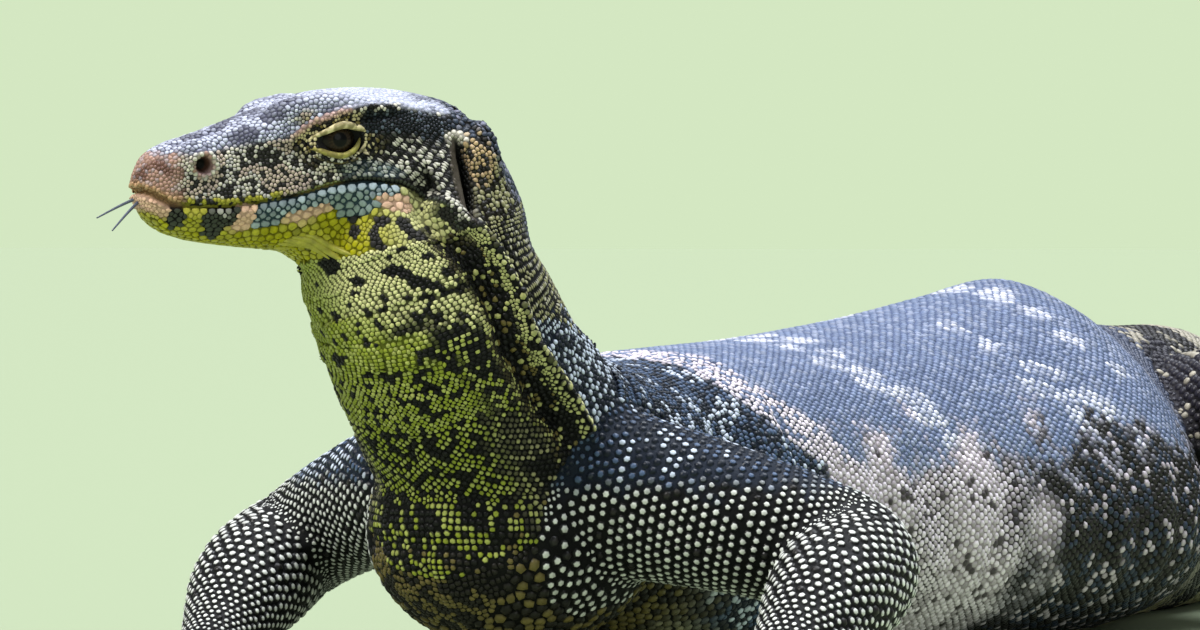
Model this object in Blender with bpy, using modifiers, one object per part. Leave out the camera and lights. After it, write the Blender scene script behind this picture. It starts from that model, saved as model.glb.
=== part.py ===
"""A water monitor lizard at life size, as a still museum model.

The animal lies with its chest propped on bent forelegs, its neck raised and its head turned
to its right. It faces -Y, +X is its left and the floor is z = 0. The origin is on the flat
that the belly rests on. The numbers below are measured from the point of the floor between
the shoulders, and the last step moves the animal by REST_POINT. Lengths are in metres.
"""
import math
from typing import NamedTuple

import bpy
import bmesh
import numpy as np
from mathutils import Matrix, Vector

# Gap between solids that meet, and the floor
GAP = 0.0003
FLOOR = 0.0
FLOOR_CATCH = 0.0004
# The middle of the belly's flat, which becomes the origin
REST_POINT = Vector((0.0, 0.30, 0.0))

# Head, in its own frame: forward along the snout, left, and up
HEAD_TURN = math.radians(34.0)
SNOUT_TIP = Vector((-0.0595, -0.1004, 0.0))
SNOUT_CAP = 0.0012
REAR_CAP = 0.010
EAR_BACK = 0.092
EYE_BACK = 0.0575
EYE_OUT = 0.0152
EYE_HEIGHT = 0.1661
EYE_RADIUS = 0.0062
LID_THICKNESS = 0.0022
NOSTRIL_BACK = 0.0165
NOSTRIL_OUT = 0.0105
NOSTRIL_HEIGHT = 0.1583
EAR_HEIGHT = 0.1546
EAR_OUT = 0.0262

# Where the body is parted: a point of the head's rear plane, then places along the body
HEAD_CUT = (0.085, 0.0, 0.1386)
TRUNK_CUTS = ((0.130, 0.20), (0.260, 0.26), (0.385, 0.19))
TAIL_CUTS = (0.545, 0.690, 0.870, 1.110, 1.350)
TIP_BLOCK = 0.0090
LEG_NAMES = {"fore": ("upper_arm", "forearm", "hand"), "hind": ("thigh", "shank", "foot")}
# Widths of the planes across a leg's root, its elbow or knee and its wrist or ankle
LEG_CUTS = {"fore": (0.070, 0.090, 0.044), "hind": (0.094, 0.090, 0.085)}

# The line of the mouth: how far back, height, and how wide it stands open
MOUTH_LINE = (
    (-0.0200, 0.1514, 0.0032),
    (0.0070, 0.1502, 0.0027),
    (0.0125, 0.1474, 0.0010),
    (0.0217, 0.1467, 0.0006),
    (0.0335, 0.1484, 0.0006),
    (0.0480, 0.1520, 0.0006),
    (0.0570, 0.1543, 0.0006),
    (0.0660, 0.1548, 0.0006),
    (0.0760, 0.1530, 0.0006),
    (0.0830, 0.1480, 0.0006),
    (0.0900, 0.1360, 0.0006),
)
# The lips run beside the mouth's line from here to here, this far above and below it
LIP_FROM, LIP_TO = 0.010, 0.078
LIP_ABOVE, LIP_BELOW = 0.0026, -0.0032
LIP_RADIUS = 0.0019
# The tongue: its root in the mouth, where it forks, and the tips of its two tines
TONGUE_ROOT = (0.0065, 0.0, 0.1500)
TONGUE_FORK = (-0.0012, 0.0, 0.1508)
TONGUE_TIPS = ((-0.0084, 0.0042, 0.1395), (-0.0094, -0.0046, 0.1432))
TONGUE_RADIUS = 0.0010
EYE_GAP = 0.0005
# Cups of the ear and nostril: reach along the head, into it and up
EAR_CUP = (0.0022, 0.0080, 0.0122)
EARDRUM_DEPTH = 0.0028
NOSTRIL_CUP = (0.0029, 0.0036, 0.0022)
# The brow's ridge: how far back, out and up its middle line runs, and its radius
BROW = (
    (0.0402, 0.0096, 0.1724, 0.0044),
    (0.0470, 0.0122, 0.1742, 0.0054),
    (0.0560, 0.0148, 0.1752, 0.0058),
    (0.0660, 0.0172, 0.1748, 0.0054),
    (0.0760, 0.0190, 0.1738, 0.0048),
    (0.0860, 0.0202, 0.1722, 0.0044),
)

OTHER_TRIANGLES = 230
# Colour and roughness of each kind of surface
LOOKS = {
    "head_skin": ((0.30, 0.27, 0.27), 0.55),
    "neck_skin": ((0.20, 0.21, 0.09), 0.55),
    "back_skin": ((0.13, 0.15, 0.20), 0.45),
    "dark_skin": ((0.05, 0.05, 0.05), 0.50),
    "claw": ((0.03, 0.025, 0.02), 0.35),
    "eye": ((0.02, 0.015, 0.01), 0.05),
    "eardrum": ((0.16, 0.11, 0.09), 0.50),
    "tongue": ((0.06, 0.07, 0.12), 0.35),
}

# Most triangles of the nodes that need more than the rest
TRIANGLES = {
    "head": 1500,
    "neck_upper": 620,
    "neck_lower": 400,
    "chest": 500,
    "torso": 380,
    "belly": 380,
    "pelvis": 420,
    "hand_left": 560,
    "hand_right": 560,
    "foot_left": 620,
    "foot_right": 620,
}

# Power of a section's underside: under 1 is squared off
UNDERSIDE = 0.92

# Body surface: voxel of the joining, passes of smoothing
VOXEL = 0.0021
SMOOTH_PASSES = 6
WELD = 0.00005

# Digits: length, spread in degrees from the middle of the hand, and thickness
FINGER_LENGTHS = (0.022, 0.031, 0.035, 0.033, 0.024)
FINGER_SPREAD = (48.0, 22.0, 0.0, -22.0, -50.0)
TOE_LENGTHS = (0.022, 0.038, 0.050, 0.058, 0.034)
TOE_SPREAD = (42.0, 20.0, 4.0, -12.0, -46.0)
FINGER_RADIUS = 0.0053
FINGER_TIP_RADIUS = 0.0042
CLAW_LENGTH = 0.013
CLAW_RADIUS = 0.0026
CLAW_TIP_HEIGHT = 0.0007

LEFT = 1
RIGHT = -1


class Ring(NamedTuple):
    """One section of the body: its centre, its reach to the side, up and down, and how ridged its top is."""

    x: float
    y: float
    z: float
    side: float
    up: float
    down: float
    peak: float = 0.92


class HeadRing(NamedTuple):
    """One section of the head: how far behind the snout tip, half width, top and bottom height."""

    back: float
    side: float
    top: float
    bottom: float


NECK_AND_TRUNK = (
    Ring(-0.0130, -0.0340, 0.1640, 0.0240, 0.0210, 0.0230),
    Ring(-0.0090, -0.0290, 0.1520, 0.0295, 0.0300, 0.0305),
    Ring(-0.0060, -0.0260, 0.1360, 0.0350, 0.0330, 0.0378),
    Ring(-0.0020, -0.0220, 0.1190, 0.0360, 0.0306, 0.0390),
    Ring(-0.0010, -0.0090, 0.1010, 0.0375, 0.0295, 0.0388),
    Ring(0.0000, 0.0130, 0.0820, 0.0405, 0.0330, 0.0400),
    Ring(0.0000, 0.0500, 0.0620, 0.0480, 0.0400, 0.0440),
    Ring(0.0000, 0.1000, 0.0520, 0.0540, 0.0510, 0.0500),
    Ring(0.0000, 0.1800, 0.0460, 0.0640, 0.0595, 0.0480, 1.00),
    Ring(0.0000, 0.2600, 0.0430, 0.0760, 0.0680, 0.0450, 1.10),
    Ring(0.0010, 0.3300, 0.0410, 0.0840, 0.0775, 0.0430, 1.18),
    Ring(0.0000, 0.3750, 0.0405, 0.0775, 0.0825, 0.0425, 1.26),
    Ring(-0.0040, 0.4250, 0.0410, 0.0590, 0.0690, 0.0430, 1.14),
    Ring(-0.0080, 0.4850, 0.0430, 0.0440, 0.0620, 0.0446),
    Ring(-0.0130, 0.5450, 0.0420, 0.0385, 0.0620, 0.0437),
    Ring(-0.0320, 0.6300, 0.0360, 0.0310, 0.0560, 0.0377),
    Ring(-0.0680, 0.7500, 0.0290, 0.0225, 0.0430, 0.0307),
    Ring(-0.0980, 0.9000, 0.0230, 0.0155, 0.0320, 0.0246),
    Ring(-0.0950, 1.0800, 0.0175, 0.0108, 0.0230, 0.0191),
    Ring(-0.0500, 1.2600, 0.0125, 0.0078, 0.0160, 0.0140),
    Ring(0.0300, 1.4300, 0.0085, 0.0055, 0.0105, 0.0100),
    Ring(0.0900, 1.5600, 0.0050, 0.0034, 0.0045, 0.0064),
)

HEAD_RINGS = (
    HeadRing(0.0008, 0.0055, 0.1585, 0.1470),
    HeadRing(0.0032, 0.0085, 0.1622, 0.1425),
    HeadRing(0.0090, 0.0112, 0.1656, 0.1385),
    HeadRing(0.0180, 0.0125, 0.1684, 0.1360),
    HeadRing(0.0300, 0.0142, 0.1726, 0.1345),
    HeadRing(0.0430, 0.0172, 0.1776, 0.1335),
    HeadRing(0.0560, 0.0203, 0.1811, 0.1325),
    HeadRing(0.0700, 0.0236, 0.1824, 0.1315),
    HeadRing(0.0850, 0.0266, 0.1817, 0.1300),
    HeadRing(0.1000, 0.0282, 0.1785, 0.1290),
)


def clear_scene():
    for thing in list(bpy.data.objects):
        bpy.data.objects.remove(thing)


def new_collection(name):
    collection = bpy.data.collections.new(name)
    bpy.context.scene.collection.children.link(collection)
    return collection


def material(name, colour, roughness, metallic=0.0):
    made = bpy.data.materials.new(name)
    made.use_nodes = True
    shader = made.node_tree.nodes["Principled BSDF"]
    shader.inputs["Base Color"].default_value = (*colour, 1.0)
    shader.inputs["Roughness"].default_value = roughness
    shader.inputs["Metallic"].default_value = metallic
    return made


def smooth_rows(rows, steps):
    """Catmull-Rom curve through rows of numbers, with this many steps from each row to the next."""
    rows = np.array(rows, float)
    ends = np.vstack([2 * rows[0] - rows[1], rows, 2 * rows[-1] - rows[-2]])
    out = []
    for a, b, c, d in zip(ends, ends[1:], ends[2:], ends[3:]):
        for step in range(steps):
            t = step / steps
            out.append(
                0.5 * (2 * b + (c - a) * t + (2 * a - 5 * b + 4 * c - d) * t**2 + (3 * b - a - 3 * c + d) * t**3)
            )
    out.append(rows[-1])
    return np.array(out)


def loft(name, rings, caps):
    """Closed tube through rings of points, with a point at each end."""
    mesh = bmesh.new()
    loops = [[mesh.verts.new(point) for point in ring] for ring in rings]
    count = len(loops[0])
    for here, there in zip(loops, loops[1:]):
        for i in range(count):
            j = (i + 1) % count
            mesh.faces.new((here[i], here[j], there[j], there[i]))
    first = mesh.verts.new(caps[0])
    last = mesh.verts.new(caps[1])
    for i in range(count):
        j = (i + 1) % count
        mesh.faces.new((first, loops[0][j], loops[0][i]))
        mesh.faces.new((last, loops[-1][i], loops[-1][j]))
    bmesh.ops.recalc_face_normals(mesh, faces=mesh.faces)
    return finish_mesh(name, mesh)


def finish_mesh(name, mesh):
    data = bpy.data.meshes.new(name)
    mesh.to_mesh(data)
    mesh.free()
    made = bpy.data.objects.new(name, data)
    bpy.context.scene.collection.objects.link(made)
    return made


def rounded(angle, power):
    """Cosine and sine of an angle, squared off where power is under 1 and pointed where it is over 1."""
    c, s = math.cos(angle), math.sin(angle)
    return math.copysign(abs(c) ** power, c), math.copysign(abs(s) ** power, s)


def tube(name, rings, sides=28, steps=4, keel_from=math.inf):
    """Body tube through Ring sections. Behind keel_from its top draws in to a keel."""
    rows = smooth_rows(rings, steps)
    centres = rows[:, :3]
    ahead = np.gradient(centres, axis=0)
    loops = []
    for row, direction in zip(rows, ahead):
        along = Vector(direction).normalized()
        side = along.cross(Vector((0, 0, 1))).normalized()
        up = side.cross(along)
        keel = min(max((row[1] - keel_from) / 0.25, 0.0), 1.0)
        loop = []
        for i in range(sides):
            angle = 2 * math.pi * i / sides
            c, s = rounded(angle, row[6] if math.sin(angle) > 0 else UNDERSIDE)
            reach_up = row[4] if s > 0 else row[5]
            narrow = 1.0 - 0.35 * keel * max(s, 0.0)
            loop.append(Vector(row[:3]) + side * (c * row[3] * narrow) + up * (s * reach_up))
        loops.append(loop)
    tips = []
    for row, direction, sign in ((rows[0], ahead[0], -1), (rows[-1], ahead[-1], 1)):
        along = Vector(direction).normalized()
        tips.append(Vector(row[:3]) + along * (sign * 0.6 * min(row[3], row[4])))
    return loft(name, loops, tips)


def limb(name, points, radii, sides=16, steps=4, flatten=1.0):
    """Round tube through points, with a radius at each. Flatten scales it in height."""
    rings = [Ring(*point, radius, radius * flatten, radius * flatten, 1.0) for point, radius in zip(points, radii)]
    return tube(name, rings, sides, steps)


def ball(name, centre, radii, turn=0.0, segments=24, rings=12):
    """Ellipsoid with these three radii, turned about the vertical."""
    mesh = bmesh.new()
    bmesh.ops.create_uvsphere(mesh, u_segments=segments, v_segments=rings, radius=1.0)
    place = Matrix.Translation(centre) @ Matrix.Rotation(turn, 4, "Z") @ Matrix.Diagonal((*radii, 1.0))
    mesh.transform(place)
    return finish_mesh(name, mesh)


def head_point(back, out, height):
    """World point from a place on the head: behind the snout tip, out to the left, and height."""
    forward = Vector((-math.sin(HEAD_TURN), -math.cos(HEAD_TURN), 0.0))
    left = Vector((math.cos(HEAD_TURN), -math.sin(HEAD_TURN), 0.0))
    return SNOUT_TIP - forward * back + left * out + Vector((0.0, 0.0, height))


def head_core():
    """Skull and jaw as one loft of squared sections."""
    rows = smooth_rows(HEAD_RINGS, 4)
    loops = []
    for back, side, top, bottom in rows:
        middle = (top + bottom) / 2
        loop = []
        for i in range(36):
            c, s = rounded(2 * math.pi * i / 36, 0.78)
            narrow = 1.0 - 0.16 * max(s, 0.0) - 0.10 * max(-s, 0.0)
            loop.append(head_point(back, c * side * narrow, middle + s * (top - bottom) / 2))
        loops.append(loop)
    first, last = rows[0], rows[-1]
    tips = (
        head_point(-SNOUT_CAP, 0.0, (first[2] + first[3]) / 2),
        head_point(last[0] + REAR_CAP, 0.0, (last[2] + last[3]) / 2),
    )
    return loft("head_core", loops, tips)


def head_ball(name, back, out, height, radii, segments=24, rings=12):
    """Swelling on the head: radii along the head, across it and up."""
    centre = head_point(back, out, height)
    return ball(name, centre, (radii[1], radii[0], radii[2]), -HEAD_TURN, segments, rings)


def head_half_width(back):
    """How far the side of the head's core is from its middle at this distance behind the snout tip."""
    return float(np.interp(back, [ring.back for ring in HEAD_RINGS], [ring.side for ring in HEAD_RINGS]))


def lip(hand, offset):
    """Fleshy rim beside the mouth's line, above it or below it."""
    rows = smooth_rows(MOUTH_LINE, 3)
    points = []
    for back, height, _ in rows:
        if LIP_FROM <= back <= LIP_TO:
            out = head_half_width(back) * 0.97 - LIP_RADIUS * 0.35
            points.append(head_point(back, hand * out, height + offset))
    radii = [LIP_RADIUS] * (len(points) - 1) + [LIP_RADIUS * 0.6]
    return limb("lip", points, radii, sides=10, steps=2)


def brow(hand):
    """Ridge over the eye."""
    points = [head_point(back, hand * out, height) for back, out, height, _ in BROW]
    return limb("brow", points, [row[3] for row in BROW], sides=14, steps=3)


def head_forms():
    """Snout, brows, cheeks, lips, lids and throat that the core lacks."""
    made = [head_core()]
    for hand in (LEFT, RIGHT):
        made.append(lip(hand, LIP_ABOVE))
        made.append(lip(hand, LIP_BELOW))
        lid = EYE_RADIUS + EYE_GAP + LID_THICKNESS
        made.append(ball("lids", eye_centre(hand), (lid, lid, lid)))
        made.append(brow(hand))
        made.append(head_ball("eye_front", 0.0450, hand * 0.0108, 0.1655, (0.0165, 0.0062, 0.0078)))
        made.append(head_ball("nostril_swelling", 0.0165, hand * 0.0078, 0.1595, (0.0085, 0.0058, 0.0070)))
        made.append(head_ball("cheek", 0.0810, hand * 0.0190, 0.1490, (0.0190, 0.0092, 0.0150)))
        made.append(head_ball("temple", 0.0820, hand * 0.0165, 0.1690, (0.0220, 0.0085, 0.0085)))
        made.append(head_ball("ear_fold", 0.1010, hand * 0.0225, 0.1560, (0.0080, 0.0085, 0.0170)))
    made.append(head_ball("throat", 0.0720, 0.0, 0.1350, (0.0240, 0.0190, 0.0085)))
    return made


def hand_frame(wrist, heading):
    """Forward and left of a hand or foot that points at this angle from -Y, positive to its left."""
    angle = math.radians(heading)
    forward = Vector((math.sin(angle), -math.cos(angle), 0.0))
    left = Vector((math.cos(angle), math.sin(angle), 0.0))
    return Vector((wrist[0], wrist[1], 0.0)), forward, left


def digit_line(wrist, heading, hand, palm, length, spread):
    """Root, knuckle and tip of one digit on the floor, and the way that it points."""
    centre, forward, left = hand_frame(wrist, heading)
    angle = math.radians(spread) * -hand
    ahead = forward * math.cos(angle) + left * math.sin(angle)
    middle = centre + forward * palm * 0.55
    root = middle + ahead * palm * 0.20
    start = middle + ahead * palm * 0.42
    tip = start + ahead * length
    up = Vector((0.0, 0.0, 1.0))
    knuckle = start + ahead * length * 0.45
    return (root + up * 0.0070, knuckle + up * 0.0072, tip + up * 0.0031), ahead


class Limb(NamedTuple):
    """One leg: its joints from the body out, their radii, and how its hand or foot lies."""

    name: str
    kind: str
    hand: int
    points: tuple
    radii: tuple
    heading: float
    palm: float
    palm_side: float
    digits: tuple
    spread: tuple


LIMBS = (
    Limb(
        "foreleg_left", "fore", LEFT,
        ((0.030, 0.020, 0.062), (0.074, 0.030, 0.052), (0.103, 0.043, 0.041), (0.112, 0.010, 0.031),
         (0.117, -0.026, 0.0155), (0.120, -0.040, 0.0095)),
        (0.0260, 0.0220, 0.0195, 0.0195, 0.0125, 0.0100),
        12.0, 0.034, 0.0165, FINGER_LENGTHS, FINGER_SPREAD,
    ),
    Limb(
        "foreleg_right", "fore", RIGHT,
        ((-0.030, 0.026, 0.062), (-0.066, 0.044, 0.054), (-0.097, 0.057, 0.041), (-0.092, 0.020, 0.030),
         (-0.085, -0.010, 0.0155), (-0.082, -0.023, 0.0095)),
        (0.0260, 0.0205, 0.0185, 0.0185, 0.0125, 0.0100),
        8.0, 0.034, 0.0165, FINGER_LENGTHS, FINGER_SPREAD,
    ),
    Limb(
        "hindleg_left", "hind", LEFT,
        ((0.006, 0.486, 0.055), (0.056, 0.462, 0.068), (0.104, 0.430, 0.072), (0.124, 0.462, 0.045),
         (0.136, 0.500, 0.0190), (0.144, 0.490, 0.0120)),
        (0.0360, 0.0310, 0.0240, 0.0215, 0.0140, 0.0120),
        38.0, 0.048, 0.0180, TOE_LENGTHS, TOE_SPREAD,
    ),
    Limb(
        "hindleg_right", "hind", RIGHT,
        ((-0.032, 0.486, 0.052), (-0.080, 0.466, 0.060), (-0.124, 0.444, 0.064), (-0.148, 0.478, 0.044),
         (-0.164, 0.514, 0.0190), (-0.172, 0.504, 0.0120)),
        (0.0360, 0.0310, 0.0240, 0.0215, 0.0140, 0.0120),
        -32.0, 0.048, 0.0180, TOE_LENGTHS, TOE_SPREAD,
    ),
)


def limb_forms(leg):
    """The leg, its palm or sole and its digits as tubes that overlap."""
    made = [limb(leg.name, leg.points, leg.radii)]
    wrist = leg.points[-2]
    centre, forward, left = hand_frame(wrist, leg.heading)
    middle = centre + forward * leg.palm * 0.5 + Vector((0.0, 0.0, 0.0065))
    made.append(
        ball("palm", middle, (leg.palm_side, leg.palm * 0.62, 0.0085), math.radians(leg.heading))
    )
    for length, spread in zip(leg.digits, leg.spread):
        points, ahead = digit_line(wrist, leg.heading, leg.hand, leg.palm, length, spread)
        points = (*points, points[-1] + ahead * 0.004)
        radii = (FINGER_RADIUS, FINGER_RADIUS, FINGER_TIP_RADIUS, FINGER_TIP_RADIUS * 0.9)
        made.append(limb("digit", points, radii, sides=12))
    return made


def body_forms():
    """Everything of flesh as overlapping closed forms."""
    made = [tube("trunk", NECK_AND_TRUNK, sides=40, keel_from=0.55)]
    made += head_forms()
    made.append(ball("breast", (0.0, 0.022, 0.050), (0.044, 0.050, 0.038)))
    for leg in LIMBS:
        made += limb_forms(leg)
    return made


def joined_surface(name, forms):
    """One smooth closed surface round all the forms."""
    mesh = bmesh.new()
    for form in forms:
        mesh.from_mesh(form.data)
        bpy.data.objects.remove(form)
    made = finish_mesh(name, mesh)
    remesh = made.modifiers.new("join", "REMESH")
    remesh.mode = "VOXEL"
    remesh.voxel_size = VOXEL
    smooth = made.modifiers.new("smooth", "SMOOTH")
    smooth.factor = 0.5
    smooth.iterations = SMOOTH_PASSES
    apply_modifiers(made)
    return made


def apply_modifiers(made):
    graph = bpy.context.evaluated_depsgraph_get()
    data = bpy.data.meshes.new_from_object(made.evaluated_get(graph))
    old = made.data
    made.modifiers.clear()
    made.data = data
    bpy.data.meshes.remove(old)


def slab(name, centre, normal, size, thickness=GAP):
    """Thin square cutter across a limb or the body."""
    mesh = bmesh.new()
    bmesh.ops.create_cube(mesh, size=1.0)
    turn = Vector(normal).to_track_quat("Z", "Y").to_matrix().to_4x4()
    mesh.transform(Matrix.Translation(centre) @ turn @ Matrix.Diagonal((size, size, thickness, 1.0)))
    return finish_mesh(name, mesh)


def cut(target, cutters, solver="EXACT"):
    """Takes the cutters away from the target and removes them."""
    group = bpy.data.collections.new("cutting")
    bpy.context.scene.collection.children.link(group)
    for cutter in cutters:
        bpy.context.scene.collection.objects.unlink(cutter)
        group.objects.link(cutter)
    boolean = target.modifiers.new("cut", "BOOLEAN")
    boolean.operation = "DIFFERENCE"
    boolean.operand_type = "COLLECTION"
    boolean.collection = group
    boolean.solver = solver
    apply_modifiers(target)
    for cutter in cutters:
        bpy.data.objects.remove(cutter)
    bpy.data.collections.remove(group)


def loose_parts(target):
    """The separate closed surfaces of a mesh, as lists of face numbers with their points."""
    mesh = bmesh.new()
    mesh.from_mesh(target.data)
    mesh.faces.ensure_lookup_table()
    seen = set()
    parts = []
    for face in mesh.faces:
        if face.index in seen:
            continue
        stack = [face]
        seen.add(face.index)
        group = []
        while stack:
            here = stack.pop()
            group.append(here.index)
            for edge in here.edges:
                for there in edge.link_faces:
                    if there.index not in seen:
                        seen.add(there.index)
                        stack.append(there)
        parts.append(group)
    return mesh, parts


def path_at(y):
    """Point of the trunk's or tail's middle line at this y, and the way that it runs there."""
    rows = smooth_rows(NECK_AND_TRUNK, 8)
    start = int(np.argmin(rows[:, 1]))
    place = start + int(np.argmin(np.abs(rows[start:, 1] - y)))
    along = rows[min(place + 1, len(rows) - 1), :3] - rows[place - 1, :3]
    return Vector(rows[place, :3]), Vector(along).normalized()


def head_direction(back, height):
    """Direction on the head's middle plane from its backward and upward parts."""
    return Vector((math.sin(HEAD_TURN) * back, math.cos(HEAD_TURN) * back, height)).normalized()


def parting_slabs():
    """Thin cutters that part the body into its named lengths."""
    slabs = [
        slab("head_cut", head_point(*HEAD_CUT), head_direction(0.254, -0.967), 0.125),
        slab("mid_neck_cut", (0.0, -0.0180, 0.1090), (0.0, 0.75, -0.66), 0.110),
        slab("neck_cut", (0.0, 0.0050, 0.0860), (0.0, 0.43, -0.90), 0.130),
    ]
    for y, size in TRUNK_CUTS:
        slabs.append(slab("trunk_cut", (0.0, y, 0.060), (0.0, 1.0, 0.0), size))
    for y in TAIL_CUTS:
        point, along = path_at(y)
        slabs.append(slab("tail_cut", point, along, 0.135))
    for leg in LIMBS:
        for centre, normal, size in limb_cuts(leg):
            slabs.append(slab("limb_cut", centre, normal, size))
    return slabs


def limb_cuts(leg):
    """Planes across the leg's root, its elbow or knee and its wrist or ankle."""
    points = [Vector(point) for point in leg.points]
    first = 0 if leg.kind == "fore" else 1
    root = points[first].lerp(points[first + 1], 0.60)
    middle = points[2]
    across_middle = (points[3] - middle).normalized() - (points[1] - middle).normalized()
    _, forward, _ = hand_frame(leg.points[4], leg.heading)
    end = points[4] + Vector((0.0, 0.0, 0.001))
    across_end = forward - (points[3] - points[4]).normalized()
    places = (root, middle, end)
    normals = (Vector((leg.hand, 0.0, 0.0)), across_middle, across_end)
    return zip(places, normals, LEG_CUTS[leg.kind])


def fingertip_cutters(leg):
    """Blocks that end each digit in a flat face for its claw."""
    made = []
    for points, ahead in leg_digits(leg):
        centre = points[-1] + ahead * (TIP_BLOCK / 2)
        made.append(slab("tip_cut", centre, ahead, 0.0095, TIP_BLOCK))
    return made


def leg_digits(leg):
    for length, spread in zip(leg.digits, leg.spread):
        yield digit_line(leg.points[-2], leg.heading, leg.hand, leg.palm, length, spread)


def claw(name, root, ahead):
    """Curved tapering claw whose flat root stands a gap before the digit's end."""
    side = ahead.cross(Vector((0.0, 0.0, 1.0))).normalized()
    up = Vector((0.0, 0.0, 1.0))
    loops = []
    for step in range(4):
        t = step / 4
        bend = math.sin(t * math.pi * 0.62)
        centre = root + ahead * (GAP + CLAW_LENGTH * t * 0.92) + up * (0.0017 * bend - 0.0021 * t * t)
        thick = CLAW_RADIUS * (1.0 - 0.78 * t)
        loop = []
        for i in range(6):
            angle = 2 * math.pi * i / 6
            loop.append(centre + side * (0.72 * thick * math.cos(angle)) + up * (thick * math.sin(angle)))
        loops.append(loop)
    tip = root + ahead * (GAP + CLAW_LENGTH) + up * (CLAW_TIP_HEIGHT - root.z)
    return loft(name, loops, (root + ahead * GAP, tip))


def below_floor():
    """Block that trims what rests on the floor to flats."""
    mesh = bmesh.new()
    bmesh.ops.create_cube(mesh, size=1.0)
    mesh.transform(Matrix.Translation((0.0, 0.7, FLOOR - 0.05)) @ Matrix.Diagonal((1.0, 2.4, 0.1, 1.0)))
    return finish_mesh("floor_cut", mesh)


def marker_points():
    """A point inside each flesh node, by which the parted pieces get their names."""
    trunk_ys = (0.065, 0.195, 0.320, 0.450)
    found = {
        "head": head_point(0.060, 0.0, 0.160),
        "neck_upper": Vector((0.0, -0.028, 0.122)),
        "neck_lower": Vector((0.0, -0.012, 0.092)),
    }
    for name, y in zip(("chest", "torso", "belly", "pelvis"), trunk_ys):
        found[name] = Vector((0.0, y, 0.055))
    ends = (0.545, *TAIL_CUTS[1:], 1.56)
    for number, (y0, y1) in enumerate(zip(ends, ends[1:]), 1):
        found[f"tail_{number}"] = path_at((y0 + y1) / 2)[0]
    for leg in LIMBS:
        points = [Vector(point) for point in leg.points]
        names = LEG_NAMES[leg.kind]
        side = "left" if leg.hand == LEFT else "right"
        centre, forward, _ = hand_frame(leg.points[-2], leg.heading)
        found[f"{names[0]}_{side}"] = points[1].lerp(points[2], 0.5 if leg.kind == "fore" else 0.85)
        found[f"{names[1]}_{side}"] = points[3].lerp(points[4], 0.3)
        found[f"{names[2]}_{side}"] = centre + forward * leg.palm * 0.6 + Vector((0.0, 0.0, 0.007))
    return found


def volume_of(mesh, group):
    total = 0.0
    for index in group:
        corners = [vert.co for vert in mesh.faces[index].verts]
        for a, b in zip(corners[1:], corners[2:]):
            total += corners[0].dot(a.cross(b)) / 6
    return total


def named_pieces(body):
    """Splits the parted body into one object for each marker, and keeps the largest piece at each."""
    mesh, parts = loose_parts(body)
    markers = marker_points()
    best = {}
    for group in parts:
        points = {vert for index in group for vert in mesh.faces[index].verts}
        centre = sum((vert.co for vert in points), Vector()) / len(points)
        name = min(markers, key=lambda key: (markers[key] - centre).length)
        volume = abs(volume_of(mesh, group))
        if name not in best or volume > best[name][0]:
            best[name] = (volume, group)
    made = {}
    for name, (_, group) in best.items():
        made[name] = piece_of(mesh, group, name)
    mesh.free()
    bpy.data.objects.remove(body)
    return made


def piece_of(mesh, group, name):
    """A new object from some faces of a mesh."""
    copy = bmesh.new()
    verts = {}
    for index in group:
        face = mesh.faces[index]
        for vert in face.verts:
            if vert not in verts:
                verts[vert] = copy.verts.new(vert.co)
        copy.faces.new([verts[vert] for vert in face.verts])
    return finish_mesh(name, copy)


def keep_largest(target):
    mesh, parts = loose_parts(target)
    if len(parts) > 1:
        parts.sort(key=lambda group: abs(volume_of(mesh, group)))
        kept = piece_of(mesh, parts[-1], "kept")
        old = target.data
        target.data = kept.data
        bpy.data.objects.remove(kept)
        bpy.data.meshes.remove(old)
    mesh.free()


def weld(target):
    """Makes one of points that a cut left almost on top of each other."""
    mesh = bmesh.new()
    mesh.from_mesh(target.data)
    bmesh.ops.remove_doubles(mesh, verts=mesh.verts, dist=WELD)
    bmesh.ops.dissolve_degenerate(mesh, edges=mesh.edges, dist=WELD)
    mesh.to_mesh(target.data)
    mesh.free()


def thin_out(target, triangles):
    """Fewer, larger triangles with the same form."""
    weld(target)
    faces = sum(len(face.vertices) - 2 for face in target.data.polygons)
    decimate = target.modifiers.new("thin", "DECIMATE")
    decimate.ratio = min(1.0, triangles / faces)
    decimate.use_collapse_triangulate = True
    apply_modifiers(target)
    mend(target)


def mend(target):
    """Mends what the thinning leaves: a triangle that hangs by one edge, and flats off the floor by a hair."""
    mesh = bmesh.new()
    mesh.from_mesh(target.data)
    flaps = [face for face in mesh.faces if sum(edge.is_boundary for edge in face.edges) > 1]
    bmesh.ops.delete(mesh, geom=flaps, context="FACES")
    for vert in mesh.verts:
        if vert.co.z < FLOOR + FLOOR_CATCH:
            vert.co.z = FLOOR
    mesh.to_mesh(target.data)
    mesh.free()


def eye_cutter(hand):
    """The room that the eyeball and the slit between the lids take from the head."""
    centre = eye_centre(hand)
    return ball("eye_room", centre, (EYE_RADIUS + EYE_GAP,) * 3, -HEAD_TURN, 18, 12)


def eye_centre(hand):
    return head_point(EYE_BACK, hand * EYE_OUT, EYE_HEIGHT)


def eye_opening(hand):
    """Almond cutter that opens the lids over the eyeball."""
    centre = head_point(EYE_BACK, hand * (EYE_OUT + EYE_RADIUS), EYE_HEIGHT - 0.0002)
    return ball("eye_opening", centre, (0.0050, 0.0050, 0.0026), -HEAD_TURN, 16, 8)


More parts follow.
